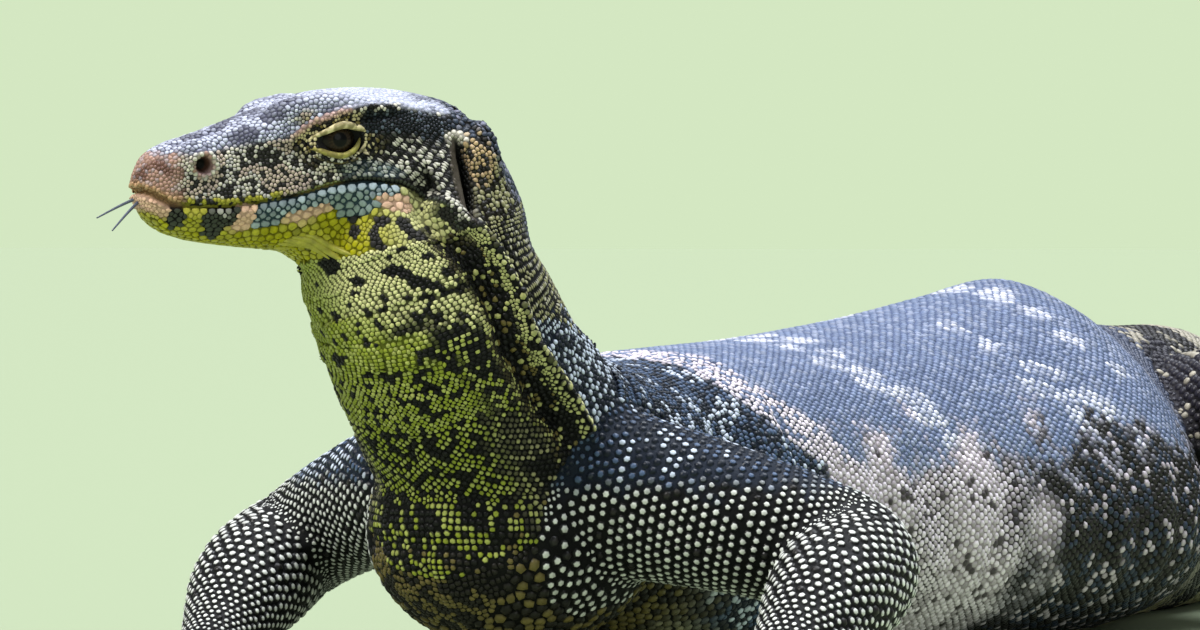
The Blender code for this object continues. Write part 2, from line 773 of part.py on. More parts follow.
def mouth_cutter():
    """Thin sheet along the line of the mouth that bends down behind its corner and frees the jaw."""
    mesh = bmesh.new()
    line = smooth_rows(MOUTH_LINE, 4)
    upper = []
    lower = []
    for back, height, open_by in line:
        upper.append((back, height + open_by / 2))
        lower.append((back, height - open_by / 2))
    outline = upper + lower[::-1]
    sides = []
    for out in (-0.05, 0.05):
        sides.append([mesh.verts.new(head_point(back, out, height)) for back, height in outline])
    count = len(line)
    total = len(outline)
    for i in range(total):
        j = (i + 1) % total
        mesh.faces.new((sides[0][i], sides[0][j], sides[1][j], sides[1][i]))
    for side in sides:
        for i in range(count - 1):
            mesh.faces.new((side[i], side[i + 1], side[total - 2 - i], side[total - 1 - i]))
    bmesh.ops.recalc_face_normals(mesh, faces=mesh.faces)
    return finish_mesh("mouth_cut", mesh)


def eyeball(name, hand):
    """The ball of the eye, which shows between the lids."""
    return ball(name, eye_centre(hand), (EYE_RADIUS,) * 3, -HEAD_TURN, 14, 8)


def ear_cutter(hand, shrink=0.0):
    """Tall narrow cup of the ear's opening, or a body that much smaller."""
    radii = tuple(radius - shrink for radius in EAR_CUP)
    return head_ball("ear_cup", EAR_BACK, hand * EAR_OUT, EAR_HEIGHT, radii, 14, 10)


def eardrum(name, hand):
    """The drum at the bottom of the ear's cup."""
    made = ear_cutter(hand, GAP)
    made.name = name
    outward = head_point(0.0, hand, 0.0) - head_point(0.0, 0.0, 0.0)
    centre = head_point(EAR_BACK, hand * (EAR_OUT - EARDRUM_DEPTH), EAR_HEIGHT) + outward * 0.01
    cut(made, [slab("ear_trim", centre, outward, 0.05, 0.02)])
    return made


def nostril_cutter(hand):
    return head_ball("nostril", NOSTRIL_BACK, hand * NOSTRIL_OUT, NOSTRIL_HEIGHT, NOSTRIL_CUP, 12, 8)


def tongue():
    """Flat stem that forks into two fine tines."""
    stem = [head_point(*TONGUE_ROOT), head_point(*TONGUE_FORK)]
    middle = stem[0].lerp(stem[1], 0.5)
    made = limb("tongue", [stem[0], middle, stem[1]], [TONGUE_RADIUS * 1.15] * 3, 10, 2)
    tines = []
    for tip in TONGUE_TIPS:
        end = head_point(*tip)
        bend = stem[1].lerp(end, 0.45) + Vector((0.0, 0.0, 0.0012))
        points = [stem[1].lerp(stem[0], 0.12), bend, end]
        tines.append(limb("tine", points, [TONGUE_RADIUS * 0.8, TONGUE_RADIUS * 0.62, 0.0004], 8, 3))
    join(made, tines)
    return made


def join(target, pieces, solver="EXACT"):
    """One closed body of the target and the pieces, which are removed."""
    group = bpy.data.collections.new("joining")
    bpy.context.scene.collection.children.link(group)
    for piece in pieces:
        bpy.context.scene.collection.objects.unlink(piece)
        group.objects.link(piece)
    boolean = target.modifiers.new("join", "BOOLEAN")
    boolean.operation = "UNION"
    boolean.operand_type = "COLLECTION"
    boolean.collection = group
    boolean.solver = solver
    apply_modifiers(target)
    for piece in pieces:
        bpy.data.objects.remove(piece)
    bpy.data.collections.remove(group)


def split_jaw(head):
    """Cuts the head along the mouth and gives the part below it back as the jaw."""
    cut(head, [mouth_cutter()])
    mesh, parts = loose_parts(head)
    parts.sort(key=lambda group: abs(volume_of(mesh, group)))
    upper = piece_of(mesh, parts[-1], "upper")
    jaw = piece_of(mesh, parts[-2], "lower_jaw")
    mesh.free()
    bpy.data.objects.remove(head)
    upper.name = "head"
    return upper, jaw


def dress_head(head):
    """Opens the eyes, ears and nostrils."""
    cutters = []
    for hand in (LEFT, RIGHT):
        cutters += [eye_cutter(hand), eye_opening(hand), ear_cutter(hand), nostril_cutter(hand)]
    for cutter in cutters:
        cut(head, [cutter])
    keep_largest(head)


def claws():
    made = {}
    for leg in LIMBS:
        side = "left" if leg.hand == LEFT else "right"
        for number, (points, ahead) in enumerate(leg_digits(leg), 1):
            name = f"claw_{leg.kind}_{side}_{number}"
            made[name] = claw(name, points[-1], ahead)
    return made


def main():
    clear_scene()
    body = joined_surface("body", body_forms())
    cutters = parting_slabs()
    cutters.append(below_floor())
    for leg in LIMBS:
        cutters += fingertip_cutters(leg)
    cut(body, cutters, "MANIFOLD")
    nodes = named_pieces(body)
    for name, node in nodes.items():
        thin_out(node, TRIANGLES.get(name, OTHER_TRIANGLES))
    nodes["head"], nodes["lower_jaw"] = split_jaw(nodes["head"])
    dress_head(nodes["head"])
    nodes["tongue"] = tongue()
    for side, hand in (("left", LEFT), ("right", RIGHT)):
        nodes[f"eye_{side}"] = eyeball(f"eye_{side}", hand)
        nodes[f"ear_{side}"] = eardrum(f"ear_{side}", hand)
    nodes.update(claws())
    finish(nodes)


def finish(nodes):
    """Gives every node its place from the origin, its material and the animal's collection."""
    animal = new_collection("water_monitor")
    made = {name: material(name, *look) for name, look in LOOKS.items()}
    for name, node in nodes.items():
        node.name = name
        node.data.transform(Matrix.Translation(-REST_POINT))
        node.data.materials.clear()
        node.data.materials.append(made[look_of(name)])
        for holder in list(node.users_collection):
            holder.objects.unlink(node)
        animal.objects.link(node)


def look_of(name):
    """Which of the named looks a node has."""
    kind = name.split("_")[0]
    return {"claw": "claw", "eye": "eye", "ear": "eardrum", "tongue": "tongue"}.get(kind) or (
        "head_skin" if name in ("head", "lower_jaw") else "neck_skin" if kind == "neck"
        else "back_skin" if name in ("chest", "torso", "belly") else "dark_skin"
    )


main()
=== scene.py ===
"""A water monitor lizard as a still museum model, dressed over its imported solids.

One skin takes the place of the flesh nodes. Scales of solid mesh cover it, each with its own outline
cut against its neighbours. The eyes, lids, tongue and claws are pieces of their own. Places are given
in metres from the floor between the shoulders, as in the part's source, and REST moves them to the
frame, whose origin is on the belly's flat. Angles round the trunk are 0 at its side, 90 on its back.
"""
import logging
import math
from dataclasses import dataclass, field
from enum import Enum
from typing import Callable, Iterable, NamedTuple

import bmesh
import bpy
import numpy as np
from mathutils import Euler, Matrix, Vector
from mathutils.bvhtree import BVHTree
from mathutils.kdtree import KDTree


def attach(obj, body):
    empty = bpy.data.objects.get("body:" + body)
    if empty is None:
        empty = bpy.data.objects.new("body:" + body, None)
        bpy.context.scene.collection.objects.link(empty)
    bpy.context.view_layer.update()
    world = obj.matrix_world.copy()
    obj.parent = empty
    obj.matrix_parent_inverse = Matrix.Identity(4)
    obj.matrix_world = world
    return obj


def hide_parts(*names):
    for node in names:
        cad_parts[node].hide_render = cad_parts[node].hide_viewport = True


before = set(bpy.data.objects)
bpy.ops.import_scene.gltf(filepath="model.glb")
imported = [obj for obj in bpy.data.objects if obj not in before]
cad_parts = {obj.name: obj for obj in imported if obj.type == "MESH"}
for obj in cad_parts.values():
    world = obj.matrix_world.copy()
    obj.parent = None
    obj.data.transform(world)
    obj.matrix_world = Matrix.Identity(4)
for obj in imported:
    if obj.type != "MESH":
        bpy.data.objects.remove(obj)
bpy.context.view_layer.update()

log = logging.getLogger("water_monitor")

Array = np.ndarray
Row = tuple[float, float, float]

REST = np.array((0.0, 0.30, 0.0))
UP = np.array((0.0, 0.0, 1.0))
MM = 0.001
TINY = 1e-9
LEFT, RIGHT = 1, -1
# How far under the solids' surface the skin lies, to leave room for the scales
COAT = 0.0006

HEAD_TURN = math.radians(34.0)
SNOUT_TIP = np.array((-0.0595, -0.1004, 0.0))
HEAD_AHEAD = np.array((-math.sin(HEAD_TURN), -math.cos(HEAD_TURN), 0.0))
HEAD_LEFT = np.array((math.cos(HEAD_TURN), -math.sin(HEAD_TURN), 0.0))
HEAD_CUT = (0.085, 0.0, 0.1386)
HEAD_CUT_SLOPE = (0.254, -0.967)

# Mouth line: how far behind the snout tip, height, and how wide it stands open
MOUTH_LINE = np.array((
    (-0.0200, 0.1512, 0.0013), (0.0008, 0.1511, 0.0012), (0.0043, 0.1490, 0.0011),
    (0.0075, 0.1472, 0.0009), (0.0150, 0.1465, 0.0007), (0.0242, 0.1465, 0.0006),
    (0.0323, 0.1475, 0.0006), (0.0440, 0.1494, 0.0006), (0.0515, 0.1518, 0.0006),
    (0.0567, 0.1532, 0.0006), (0.0653, 0.1541, 0.0006), (0.0742, 0.1531, 0.0006),
    (0.0800, 0.1506, 0.0006), (0.0845, 0.1470, 0.0006), (0.0900, 0.1380, 0.0006),
))
EYE = (0.0575, 0.0152, 0.1661)
EYE_RADIUS = 0.0062
# Middles of the openings on the side of the head: millimetres behind the snout tip, and up
EYE_MIDDLE = (57.3, 166.0)
NOSTRIL_MIDDLE = (17.3, 158.4)
EAR_MIDDLE = (92.3, 154.6)
# Lower edge of the brow ridge in the same numbers
BROW_EDGE = np.array((
    (40.0, 164.5), (43.0, 166.0), (50.0, 171.0), (57.0, 173.8), (66.0, 175.2), (76.0, 175.6),
))
# Lower edge of the pale crown and snout top in the same numbers
CROWN_EDGE = np.array((
    (0.0, 160.0), (10.0, 161.0), (20.0, 162.5), (40.0, 166.0), (50.0, 171.0), (57.0, 174.0),
    (66.0, 175.3), (76.0, 175.4), (90.0, 174.0),
))
NECK_MIDDLE = -0.002
# Share of a slanting row's spacing that its scales measure, for rows as far apart as they are wide
SLANT_SIZE = 1.075
# How far scales in rows stray from their places, as a share of their spacing
ROW_DISORDER = 0.09
# Scattered scales: cell of the search grid, least and wished distance as shares of the mean of two
# neighbours' sizes, and share of the way that a round of evening out moves them
CELL, CLOSEST, EVEN_GAP, PUSH = 0.003, 0.80, 1.04, 0.28

# Body sections: centre, reach to the side, up and down, and how ridged the top is
TRUNK_RINGS = (
    (-0.0130, -0.0340, 0.1640, 0.0240, 0.0210, 0.0230, 0.92),
    (-0.0090, -0.0290, 0.1520, 0.0295, 0.0300, 0.0305, 0.92),
    (-0.0060, -0.0260, 0.1360, 0.0350, 0.0330, 0.0378, 0.92),
    (-0.0020, -0.0220, 0.1190, 0.0360, 0.0306, 0.0390, 0.92),
    (-0.0010, -0.0090, 0.1010, 0.0375, 0.0295, 0.0388, 0.92),
    (0.0000, 0.0130, 0.0820, 0.0405, 0.0330, 0.0400, 0.92),
    (0.0000, 0.0500, 0.0620, 0.0480, 0.0400, 0.0440, 0.92),
    (0.0000, 0.1000, 0.0520, 0.0540, 0.0510, 0.0500, 0.92),
    (0.0000, 0.1800, 0.0460, 0.0640, 0.0595, 0.0480, 1.00),
    (0.0000, 0.2600, 0.0430, 0.0760, 0.0680, 0.0450, 1.10),
    (0.0010, 0.3300, 0.0410, 0.0840, 0.0775, 0.0430, 1.18),
    (0.0000, 0.3750, 0.0405, 0.0775, 0.0825, 0.0425, 1.26),
    (-0.0040, 0.4250, 0.0410, 0.0590, 0.0690, 0.0430, 1.14),
    (-0.0080, 0.4850, 0.0430, 0.0440, 0.0620, 0.0446, 0.92),
    (-0.0130, 0.5450, 0.0420, 0.0385, 0.0620, 0.0437, 0.92),
    (-0.0320, 0.6300, 0.0360, 0.0310, 0.0560, 0.0377, 0.92),
    (-0.0680, 0.7500, 0.0290, 0.0225, 0.0430, 0.0307, 0.92),
    (-0.0980, 0.9000, 0.0230, 0.0155, 0.0320, 0.0246, 0.92),
    (-0.0950, 1.0800, 0.0175, 0.0108, 0.0230, 0.0191, 0.92),
    (-0.0500, 1.2600, 0.0125, 0.0078, 0.0160, 0.0140, 0.92),
    (0.0300, 1.4300, 0.0085, 0.0055, 0.0105, 0.0100, 0.92),
    (0.0900, 1.5600, 0.0050, 0.0034, 0.0045, 0.0064, 0.92),
)
# Head sections: how far behind the snout tip, half width, top and bottom height
HEAD_RINGS = (
    (0.0008, 0.0055, 0.1585, 0.1470), (0.0032, 0.0085, 0.1622, 0.1425),
    (0.0090, 0.0112, 0.1656, 0.1385), (0.0180, 0.0125, 0.1684, 0.1360),
    (0.0300, 0.0142, 0.1726, 0.1345), (0.0430, 0.0172, 0.1776, 0.1335),
    (0.0560, 0.0203, 0.1811, 0.1325), (0.0700, 0.0236, 0.1824, 0.1315),
    (0.0850, 0.0266, 0.1817, 0.1300), (0.1000, 0.0282, 0.1785, 0.1290),
)
# Brow ridge: how far back, out and up its middle line runs, and its radius
BROW = (
    (0.0402, 0.0096, 0.1724, 0.0044), (0.0470, 0.0122, 0.1742, 0.0054),
    (0.0560, 0.0148, 0.1752, 0.0058), (0.0660, 0.0172, 0.1748, 0.0054),
    (0.0760, 0.0190, 0.1738, 0.0048), (0.0860, 0.0202, 0.1722, 0.0044),
)
# Swellings of the head: how far back, out and up, then radii along, across and up
HEAD_SWELLINGS = (
    (0.0450, 0.0108, 0.1655, 0.0165, 0.0062, 0.0078),
    (0.0165, 0.0078, 0.1595, 0.0085, 0.0058, 0.0070),
    (0.0810, 0.0190, 0.1490, 0.0190, 0.0092, 0.0150),
    (0.0820, 0.0165, 0.1690, 0.0220, 0.0085, 0.0085),
    (0.1010, 0.0225, 0.1560, 0.0080, 0.0085, 0.0170),
)
JAW_BASE = (0.0720, 0.0, 0.1350, 0.0240, 0.0190, 0.0085)
# Swelling between the forelegs: its middle, then radii across, along and up
CHEST = (np.array((0.0, 0.022, 0.050)), (0.044, 0.050, 0.038))
# Length of each digit, and how far it is spread, in degrees
FINGERS = ((0.022, 0.031, 0.035, 0.033, 0.024), (48.0, 22.0, 0.0, -22.0, -50.0))
TOES = ((0.022, 0.038, 0.050, 0.058, 0.034), (42.0, 20.0, 4.0, -12.0, -46.0))
# The fold that runs from below the ear down the side of the neck
NECK_FOLD = np.array((
    (0.0150, -0.0480, 0.1475), (0.0225, -0.0440, 0.1410), (0.0273, -0.0401, 0.1339),
    (0.0308, -0.0344, 0.1230), (0.0331, -0.0299, 0.1103), (0.0348, -0.0207, 0.0993),
    (0.0369, -0.0085, 0.0885), (0.0384, -0.0006, 0.0782),
))


class Tone(Enum):
    """Colours of the animal, as red, green and blue from 0 to 255. Some of them carry painted sky sheen, and
    some painted shade.
    """

    SNOUT_PINK = (172, 136, 122)
    SNOUT_BROWN = (96, 62, 52)
    LIP_ORANGE = (190, 152, 116)
    # Grey-blue crown scales made paler by painted sky sheen
    CROWN_WITH_SHEEN = (196, 200, 220)
    CROWN_DARK = (122, 124, 146)
    CREAM = (212, 206, 192)
    SIDE_GREY = (186, 182, 178)
    SIDE_DARK = (36, 34, 33)
    BROW_PINK = (206, 168, 158)
    OLIVE = (112, 100, 56)
    TEMPLE = (18, 26, 36)
    CHEEK = (206, 202, 190)
    CHEEK_DARK = (26, 25, 26)
    LID = (214, 200, 156)
    LID_LOWER = (172, 164, 84)
    LIP_GREEN = (138, 144, 92)
    LIP_PINK = (224, 184, 160)
    LIP_BLUE = (166, 180, 192)
    LIP_BLUE_DARK = (42, 60, 70)
    CHIN = (168, 162, 6)
    CHIN_PALE = (172, 166, 60)
    JAW_CREAM = (206, 204, 146)
    THROAT = (150, 160, 54)
    THROAT_PALE = (204, 206, 134)
    BLACK = (13, 13, 13)
    NAPE = (30, 27, 22)
    NAPE_DOT = (158, 154, 116)
    NAPE_BLUE = (50, 60, 78)
    SHOULDER_BEAD = (200, 210, 228)
    SHOULDER_DARK = (22, 30, 44)
    EAR_TAN = (200, 172, 132)
    FOLD_PALE = (224, 220, 166)
    BEAD_WHITE = (216, 216, 206)
    BEAD_CREAM = (214, 216, 212)
    ARM_DARK = (14, 14, 16)
    BACK = (112, 126, 158)
    BACK_DARK = (84, 96, 128)
    OCELLUS = (208, 210, 224)
    FLANK_DARK = (70, 64, 68)
    FLANK_BEAD = (226, 216, 228)
    SLATE = (44, 54, 72)
    BELLY = (196, 190, 150)
    RUMP = (40, 38, 44)
    # The rump's own dark blue-grey, also laid on the hind legs' upward faces as painted sky sheen
    RUMP_TOP_AND_SHEEN = (40, 39, 52)
    TAIL_DARK = (36, 34, 38)
    TAIL_BAND = (164, 158, 144)
    CLAW_HORN = (30, 26, 22)
    TONGUE = (84, 90, 114)
    EARDRUM = (96, 88, 80)
    NOSTRIL_FLESH = (196, 158, 160)
    SNOUT_SHADOW = (60, 60, 80)
    TEMPLE_TIP = (86, 96, 110)
    LIP_SHADOW = (134, 150, 150)
    FOLD_GREEN = (188, 188, 128)
    SHOULDER_SLATE = (72, 90, 120)
    BAR = (58, 62, 54)
    CROWN_SEAM = (170, 174, 194)
    FLANK_GREY = (156, 146, 154)

    @property
    def linear(self) -> Array:
        """The colour in linear light, as the shaders take it."""
        part = np.array(self.value) / 255.0
        return np.where(part <= 0.04045, part / 12.92, ((part + 0.055) / 1.055) ** 2.4)


class Part(Enum):
    """The parts of the body that scales and markings tell apart."""

    TRUNK = 0
    FORE_LEFT = 1
    FORE_RIGHT = 2
    HIND_LEFT = 3
    HIND_RIGHT = 4
    HEAD = 5


def side_word(hand: int) -> str:
    """The name of the animal's side that a hand stands for."""
    return "left" if hand == LEFT else "right"


def head_place(back: float, out: float, height: float) -> Array:
    """World place from how far behind the snout tip, out to the left and up it is."""
    return SNOUT_TIP - HEAD_AHEAD * back + HEAD_LEFT * out + UP * height


def head_numbers(points: Array) -> tuple[Array, Array, Array]:
    """How far each point is behind the snout tip, out to the left, and up."""
    away = points - SNOUT_TIP
    return -(away @ HEAD_AHEAD), away @ HEAD_LEFT, points[:, 2]


def in_head(points: Array) -> Array:
    """Which points are on the head's side of the plane where the neck begins.

    Args:
        points: The points, one a row.

    Returns:
        True for those on the head's side.
    """
    slope = np.array((math.sin(HEAD_TURN) * HEAD_CUT_SLOPE[0], math.cos(HEAD_TURN) * HEAD_CUT_SLOPE[0],
                      HEAD_CUT_SLOPE[1]))
    return (points - head_place(*HEAD_CUT)) @ slope < 0.0


def smooth_rows(rows: Iterable[Iterable[float]], steps: int) -> Array:
    """Catmull-Rom curve through rows of numbers.

    Args:
        rows: The numbers that the curve passes through.
        steps: Rows made from each given row to the next.

    Returns:
        The finer rows.
    """
    table = np.array([tuple(row) for row in rows], float)
    ends = np.vstack([2 * table[0] - table[1], table, 2 * table[-1] - table[-2]])
    found = []
    for a, b, c, d in zip(ends, ends[1:], ends[2:], ends[3:]):
        for step in range(steps):
            t = step / steps
            found.append(0.5 * (2 * b + (c - a) * t + (2 * a - 5 * b + 4 * c - d) * t**2
                                + (3 * b - a - 3 * c + d) * t**3))
    found.append(table[-1])
    return np.array(found)


def unit(vectors: Array) -> Array:
    """Vectors of length one."""
    return vectors / np.maximum(np.linalg.norm(vectors, axis=-1, keepdims=True), 1e-12)


def turns(count: int) -> Array:
    """So many angles evenly round a circle."""
    return np.arange(count) * math.tau / count


def ramp(values: Array, low: Array | float, high: Array | float) -> Array:
    """0 below low, 1 above high and smooth between. With low over high it falls instead."""
    t = np.clip((values - low) / (high - low), 0.0, 1.0)
    return t * t * (3 - 2 * t)


# Turns the noise's lattice so that it lines up with no part of the body
NOISE_TURN = np.array(Euler((0.7, 0.5, 0.9)).to_matrix())


def value_noise(points: Array, size: float, seed: int) -> Array:
    """Smooth noise from 0 to 1.

    Args:
        points: Where it is wanted.
        size: Size of its lumps, in the same unit.
        seed: Seed of the lumps.

    Returns:
        A value for each point.
    """
    q = points @ NOISE_TURN / size + seed * 7.31
    cell = np.floor(q).astype(np.int64)
    t = q - cell
    t = t * t * (3 - 2 * t)
    total = np.zeros(len(points))
    for corner in np.ndindex(2, 2, 2):
        at = cell + corner
        mixed = at[:, 0] * 374761393 + at[:, 1] * 668265263 + at[:, 2] * 974634777 + seed * 362437
        mixed = (mixed ^ (mixed >> 13)) * 1274126177
        value = ((mixed ^ (mixed >> 16)) & 0xFFFF) / 65535.0
        weight = np.prod(np.where(corner, t, 1 - t), axis=1)
        total += value * weight
    return total


def line_distance(points: Array, line: Array) -> tuple[Array, Array]:
    """How far points are from a broken line, and how far along it the nearest place is.

    Args:
        points: The points, one a row.
        line: Corners of the line, in the same number of dimensions.

    Returns:
        The distances, and the places as segment number plus fraction.
    """
    best = np.full(len(points), np.inf)
    place = np.zeros(len(points))
    for number, (a, b) in enumerate(zip(line, line[1:])):
        along = b - a
        t = np.clip((points - a) @ along / (along @ along), 0.0, 1.0)
        away = np.linalg.norm(points - a - t[:, None] * along, axis=1)
        nearer = away < best
        best[nearer] = away[nearer]
        place[nearer] = number + t[nearer]
    return best, place


def speck(points: Array, size: float, seed: int) -> Array:
    """Noise for small clumps of scales, sharper than one layer alone."""
    return 0.62 * value_noise(points, size, seed) + 0.38 * value_noise(points, size * 0.45, seed + 50)


def mouth_height(back: Array) -> Array:
    """Height of the mouth's line this far behind the snout tip, both in millimetres."""
    return np.interp(back, MOUTH_LINE[:, 0] / MM, MOUTH_LINE[:, 1] / MM)


def mouth_gap(back: Array) -> Array:
    """Half of how wide the mouth's line stands open there, in millimetres."""
    return np.interp(back, MOUTH_LINE[:, 0] / MM, MOUTH_LINE[:, 2] / MM) / 2


def mirrored(points: Array) -> Array:
    """The points with those right of the neck's middle moved to its left.

    Args:
        points: The points, one a row.

    Returns:
        The moved points.
    """
    moved = points.copy()
    moved[:, 0] = np.abs(moved[:, 0] - NECK_MIDDLE) + NECK_MIDDLE
    return moved


def fold_place(points: Array) -> tuple[Array, Array]:
    """How far points are from the neck's fold, and how far behind it along Y.

    Args:
        points: The points, one a row.

    Returns:
        Both distances.
    """
    away, _ = line_distance(mirrored(points), NECK_FOLD)
    at_fold = np.interp(points[:, 2], NECK_FOLD[::-1, 2], NECK_FOLD[::-1, 1])
    return away, points[:, 1] - at_fold


# Forms


class Form(NamedTuple):
    """A closed mesh as points and faces."""

    points: Array
    faces: list[tuple[int, ...]]


def loft(rings: Array, caps: Array) -> Form:
    """Closed tube through rings of points, with a point at each end.

    Args:
        rings: Rings of points.
        caps: The points at the two ends.

    Returns:
        The mesh.
    """
    count, sides = rings.shape[:2]
    faces: list[tuple[int, ...]] = []
    for row in range(count - 1):
        for i in range(sides):
            j = (i + 1) % sides
            faces.append((row * sides + i, row * sides + j, (row + 1) * sides + j, (row + 1) * sides + i))
    first, last = count * sides, count * sides + 1
    for i in range(sides):
        j = (i + 1) % sides
        faces.append((first, j, i))
        faces.append((last, (count - 1) * sides + i, (count - 1) * sides + j))
    return Form(np.vstack([rings.reshape(-1, 3), caps]), faces)


def merged(forms: Iterable[Form]) -> Form:
    """Several closed meshes as one.

    Args:
        forms: The meshes.

    Returns:
        The one mesh.
    """
    points, faces, count = [], [], 0
    for form in forms:
        points.append(form.points)
        faces += [tuple(index + count for index in face) for face in form.faces]
        count += len(form.points)
    return Form(np.vstack(points), faces)


def squared(angles: Array, power: Array | float) -> tuple[Array, Array]:
    """Cosine and sine, squared off where power is under 1 and pointed where it is over 1."""
    c, s = np.cos(angles), np.sin(angles)
    return np.sign(c) * np.abs(c) ** power, np.sign(s) * np.abs(s) ** power


@dataclass
class Tube:
    """A length of the body as sections along a curved middle line.

    Attributes:
        rows: Sections: centre, reach to the side, up and down, and how ridged the top is.
        steps: Sections made from each given one to the next.
        underside: Power of the sections' underside.
        keel_from: Where along Y the top begins to draw in to the tail's keel.
    """

    rows: tuple[tuple[float, ...], ...]
    steps: int = 4
    underside: float = 0.92
    keel_from: float = math.inf
    table: Array = field(init=False)
    side: Array = field(init=False)
    up: Array = field(init=False)
    ahead: Array = field(init=False)
    along: Array = field(init=False)

    def __post_init__(self) -> None:
        """Works out the finer sections and their directions."""
        self.table = smooth_rows(self.rows, self.steps)
        centres = self.table[:, :3]
        self.ahead = unit(np.gradient(centres, axis=0))
        self.side = unit(np.cross(self.ahead, UP))
        self.up = np.cross(self.side, self.ahead)
        lengths = np.linalg.norm(np.diff(centres, axis=0), axis=1)
        self.along = np.concatenate([[0.0], np.cumsum(lengths)])

    def section(self, place: float, angles: Array) -> Array:
        """Points of the section at a place along the tube, at these angles.

        Args:
            place: How far along the tube.
            angles: Angles from the animal's side upward.

        Returns:
            A point for each angle.
        """
        row = np.array([np.interp(place, self.along, column) for column in self.table.T])
        side = unit(np.array([np.interp(place, self.along, column) for column in self.side.T]))
        up = unit(np.array([np.interp(place, self.along, column) for column in self.up.T]))
        c, s = squared(angles, np.where(np.sin(angles) > 0, row[6], self.underside))
        reach = np.where(s > 0, row[4], row[5])
        keel = min(max((row[1] - self.keel_from) / 0.25, 0.0), 1.0)
        narrow = 1.0 - 0.35 * keel * np.maximum(s, 0.0)
        return row[:3] + np.outer(c * row[3] * narrow, side) + np.outer(s * reach, up)

    def form(self, sides: int) -> Form:
        """The tube as a closed mesh.

        Args:
            sides: Corners of each ring.

        Returns:
            The mesh.
        """
        angles = turns(sides)
        rings = np.array([self.section(place, angles) for place in self.along])
        ends = []
        for index, sign in ((0, -1), (-1, 1)):
            row = self.table[index]
            ends.append(row[:3] + self.ahead[index] * (sign * 0.6 * min(row[3], row[4])))
        return loft(rings, np.array(ends))


def pipe(points: Iterable[Array], radii: Iterable[float], steps: int) -> Tube:
    """Round length of body through points.

    Args:
        points: The points.
        radii: The radius at each.
        steps: Sections made from each point to the next.

    Returns:
        The length of body.
    """
    return Tube(tuple((*point, r, r, r, 1.0) for point, r in zip(points, radii)), steps, 1.0)


def round_tube(points: Iterable[Array], radii: Iterable[float], sides: int = 16, steps: int = 4) -> Form:
    """Round tube through points, with a radius at each."""
    return pipe(points, radii, steps).form(sides)


def ball(centre: Array, radii: tuple[float, float, float], turn: float = 0.0,
         sides: int = 24, rings: int = 12) -> Form:
    """Ellipsoid with these three radii, turned about the vertical.

    Args:
        centre: Its middle.
        radii: Radii across, along and up.
        turn: The turn.
        sides: Corners of each ring.
        rings: Steps from pole to pole.

    Returns:
        The mesh.
    """
    lift = np.linspace(-math.pi / 2, math.pi / 2, rings + 1)[1:-1]
    angles = turns(sides)
    shape = np.stack([np.outer(np.cos(lift), np.cos(angles)), np.outer(np.cos(lift), np.sin(angles)),
                      np.outer(np.sin(lift), np.ones(sides))], axis=-1)
    made = loft(shape, np.array(((0.0, 0.0, -1.0), (0.0, 0.0, 1.0))))
    c, s = math.cos(turn), math.sin(turn)
    place = np.array(((c, -s, 0.0), (s, c, 0.0), (0.0, 0.0, 1.0)))
    return Form((made.points * np.array(radii)) @ place.T + centre, made.faces)


def head_ball(back: float, out: float, height: float, along: float, across: float, tall: float) -> Form:
    """Swelling on the head: its place, then its radii."""
    return ball(head_place(back, out, height), (across, along, tall), -HEAD_TURN)


@dataclass(frozen=True)
class Leg:
    """One leg, with its hand or foot.

    Attributes:
        part: The part of the body that it is.
        hand: 1 for the left, -1 for the right.
        points: Its joints from the body out.
        radii: The radius at each.
        heading: The way that the hand points, in degrees from -Y to the left.
        palm: Length of the palm or sole.
        palm_side: Half its width.
        digits: Length of each digit, and how far it is spread, in degrees.
    """

    part: Part
    hand: int
    points: tuple[Row, ...]
    radii: tuple[float, ...]
    heading: float
    palm: float
    palm_side: float
    digits: tuple[tuple[float, ...], tuple[float, ...]]
    # Heights over the floor of the sole's middle and of the digits' roots, knuckles and tips
    SOLE, ROOT, KNUCKLE, TIP = 0.0065, 0.0070, 0.0072, 0.0031
    THICK, DIGIT_RADII = 0.0085, (0.0053, 0.0053, 0.0042, 0.0038)

    @property
    def words(self) -> str:
        """What its claws are named after."""
        kind = "fore" if self.part in (Part.FORE_LEFT, Part.FORE_RIGHT) else "hind"
        return f"{kind}_{side_word(self.hand)}"

    def frame(self) -> tuple[Array, Array, Array]:
        """Place of the wrist on the floor, and the hand's forward and left.

        Returns:
            The wrist, then the two directions.
        """
        angle = math.radians(self.heading)
        wrist = np.array((self.points[-2][0], self.points[-2][1], 0.0))
        forward = np.array((math.sin(angle), -math.cos(angle), 0.0))
        return wrist, forward, np.array((math.cos(angle), math.sin(angle), 0.0))

    def digit_lines(self) -> list[tuple[Array, Array]]:
        """Root, knuckle and tip of each digit, and the way that it points.

        Returns:
            The line and the direction of each digit.
        """
        wrist, forward, left = self.frame()
        middle = wrist + forward * self.palm * 0.55
        found = []
        for length, spread in zip(*self.digits):
            angle = math.radians(spread) * -self.hand
            ahead = forward * math.cos(angle) + left * math.sin(angle)
            start = middle + ahead * self.palm * 0.42
            line = np.array((
                middle + ahead * self.palm * 0.20 + UP * self.ROOT,
                start + ahead * length * 0.45 + UP * self.KNUCKLE,
                start + ahead * length + UP * self.TIP,
            ))
            found.append((line, ahead))
        return found

    def tube(self) -> Tube:
        """The leg's own length as a tube."""
        return pipe(self.points, self.radii, 5)

    def forms(self) -> list[Form]:
        """The leg, its palm or sole and its digits.

        Returns:
            The closed meshes.
        """
        wrist, forward, _ = self.frame()
        made = [self.tube().form(20)]
        sole = (self.palm_side, self.palm * 0.62, self.THICK)
        middle = wrist + forward * self.palm * 0.5 + UP * self.SOLE
        made.append(ball(middle, sole, math.radians(self.heading)))
        for line, ahead in self.digit_lines():
            points = (*line, line[-1] + ahead * 0.004)
            made.append(round_tube(points, self.DIGIT_RADII, 12))
        return made


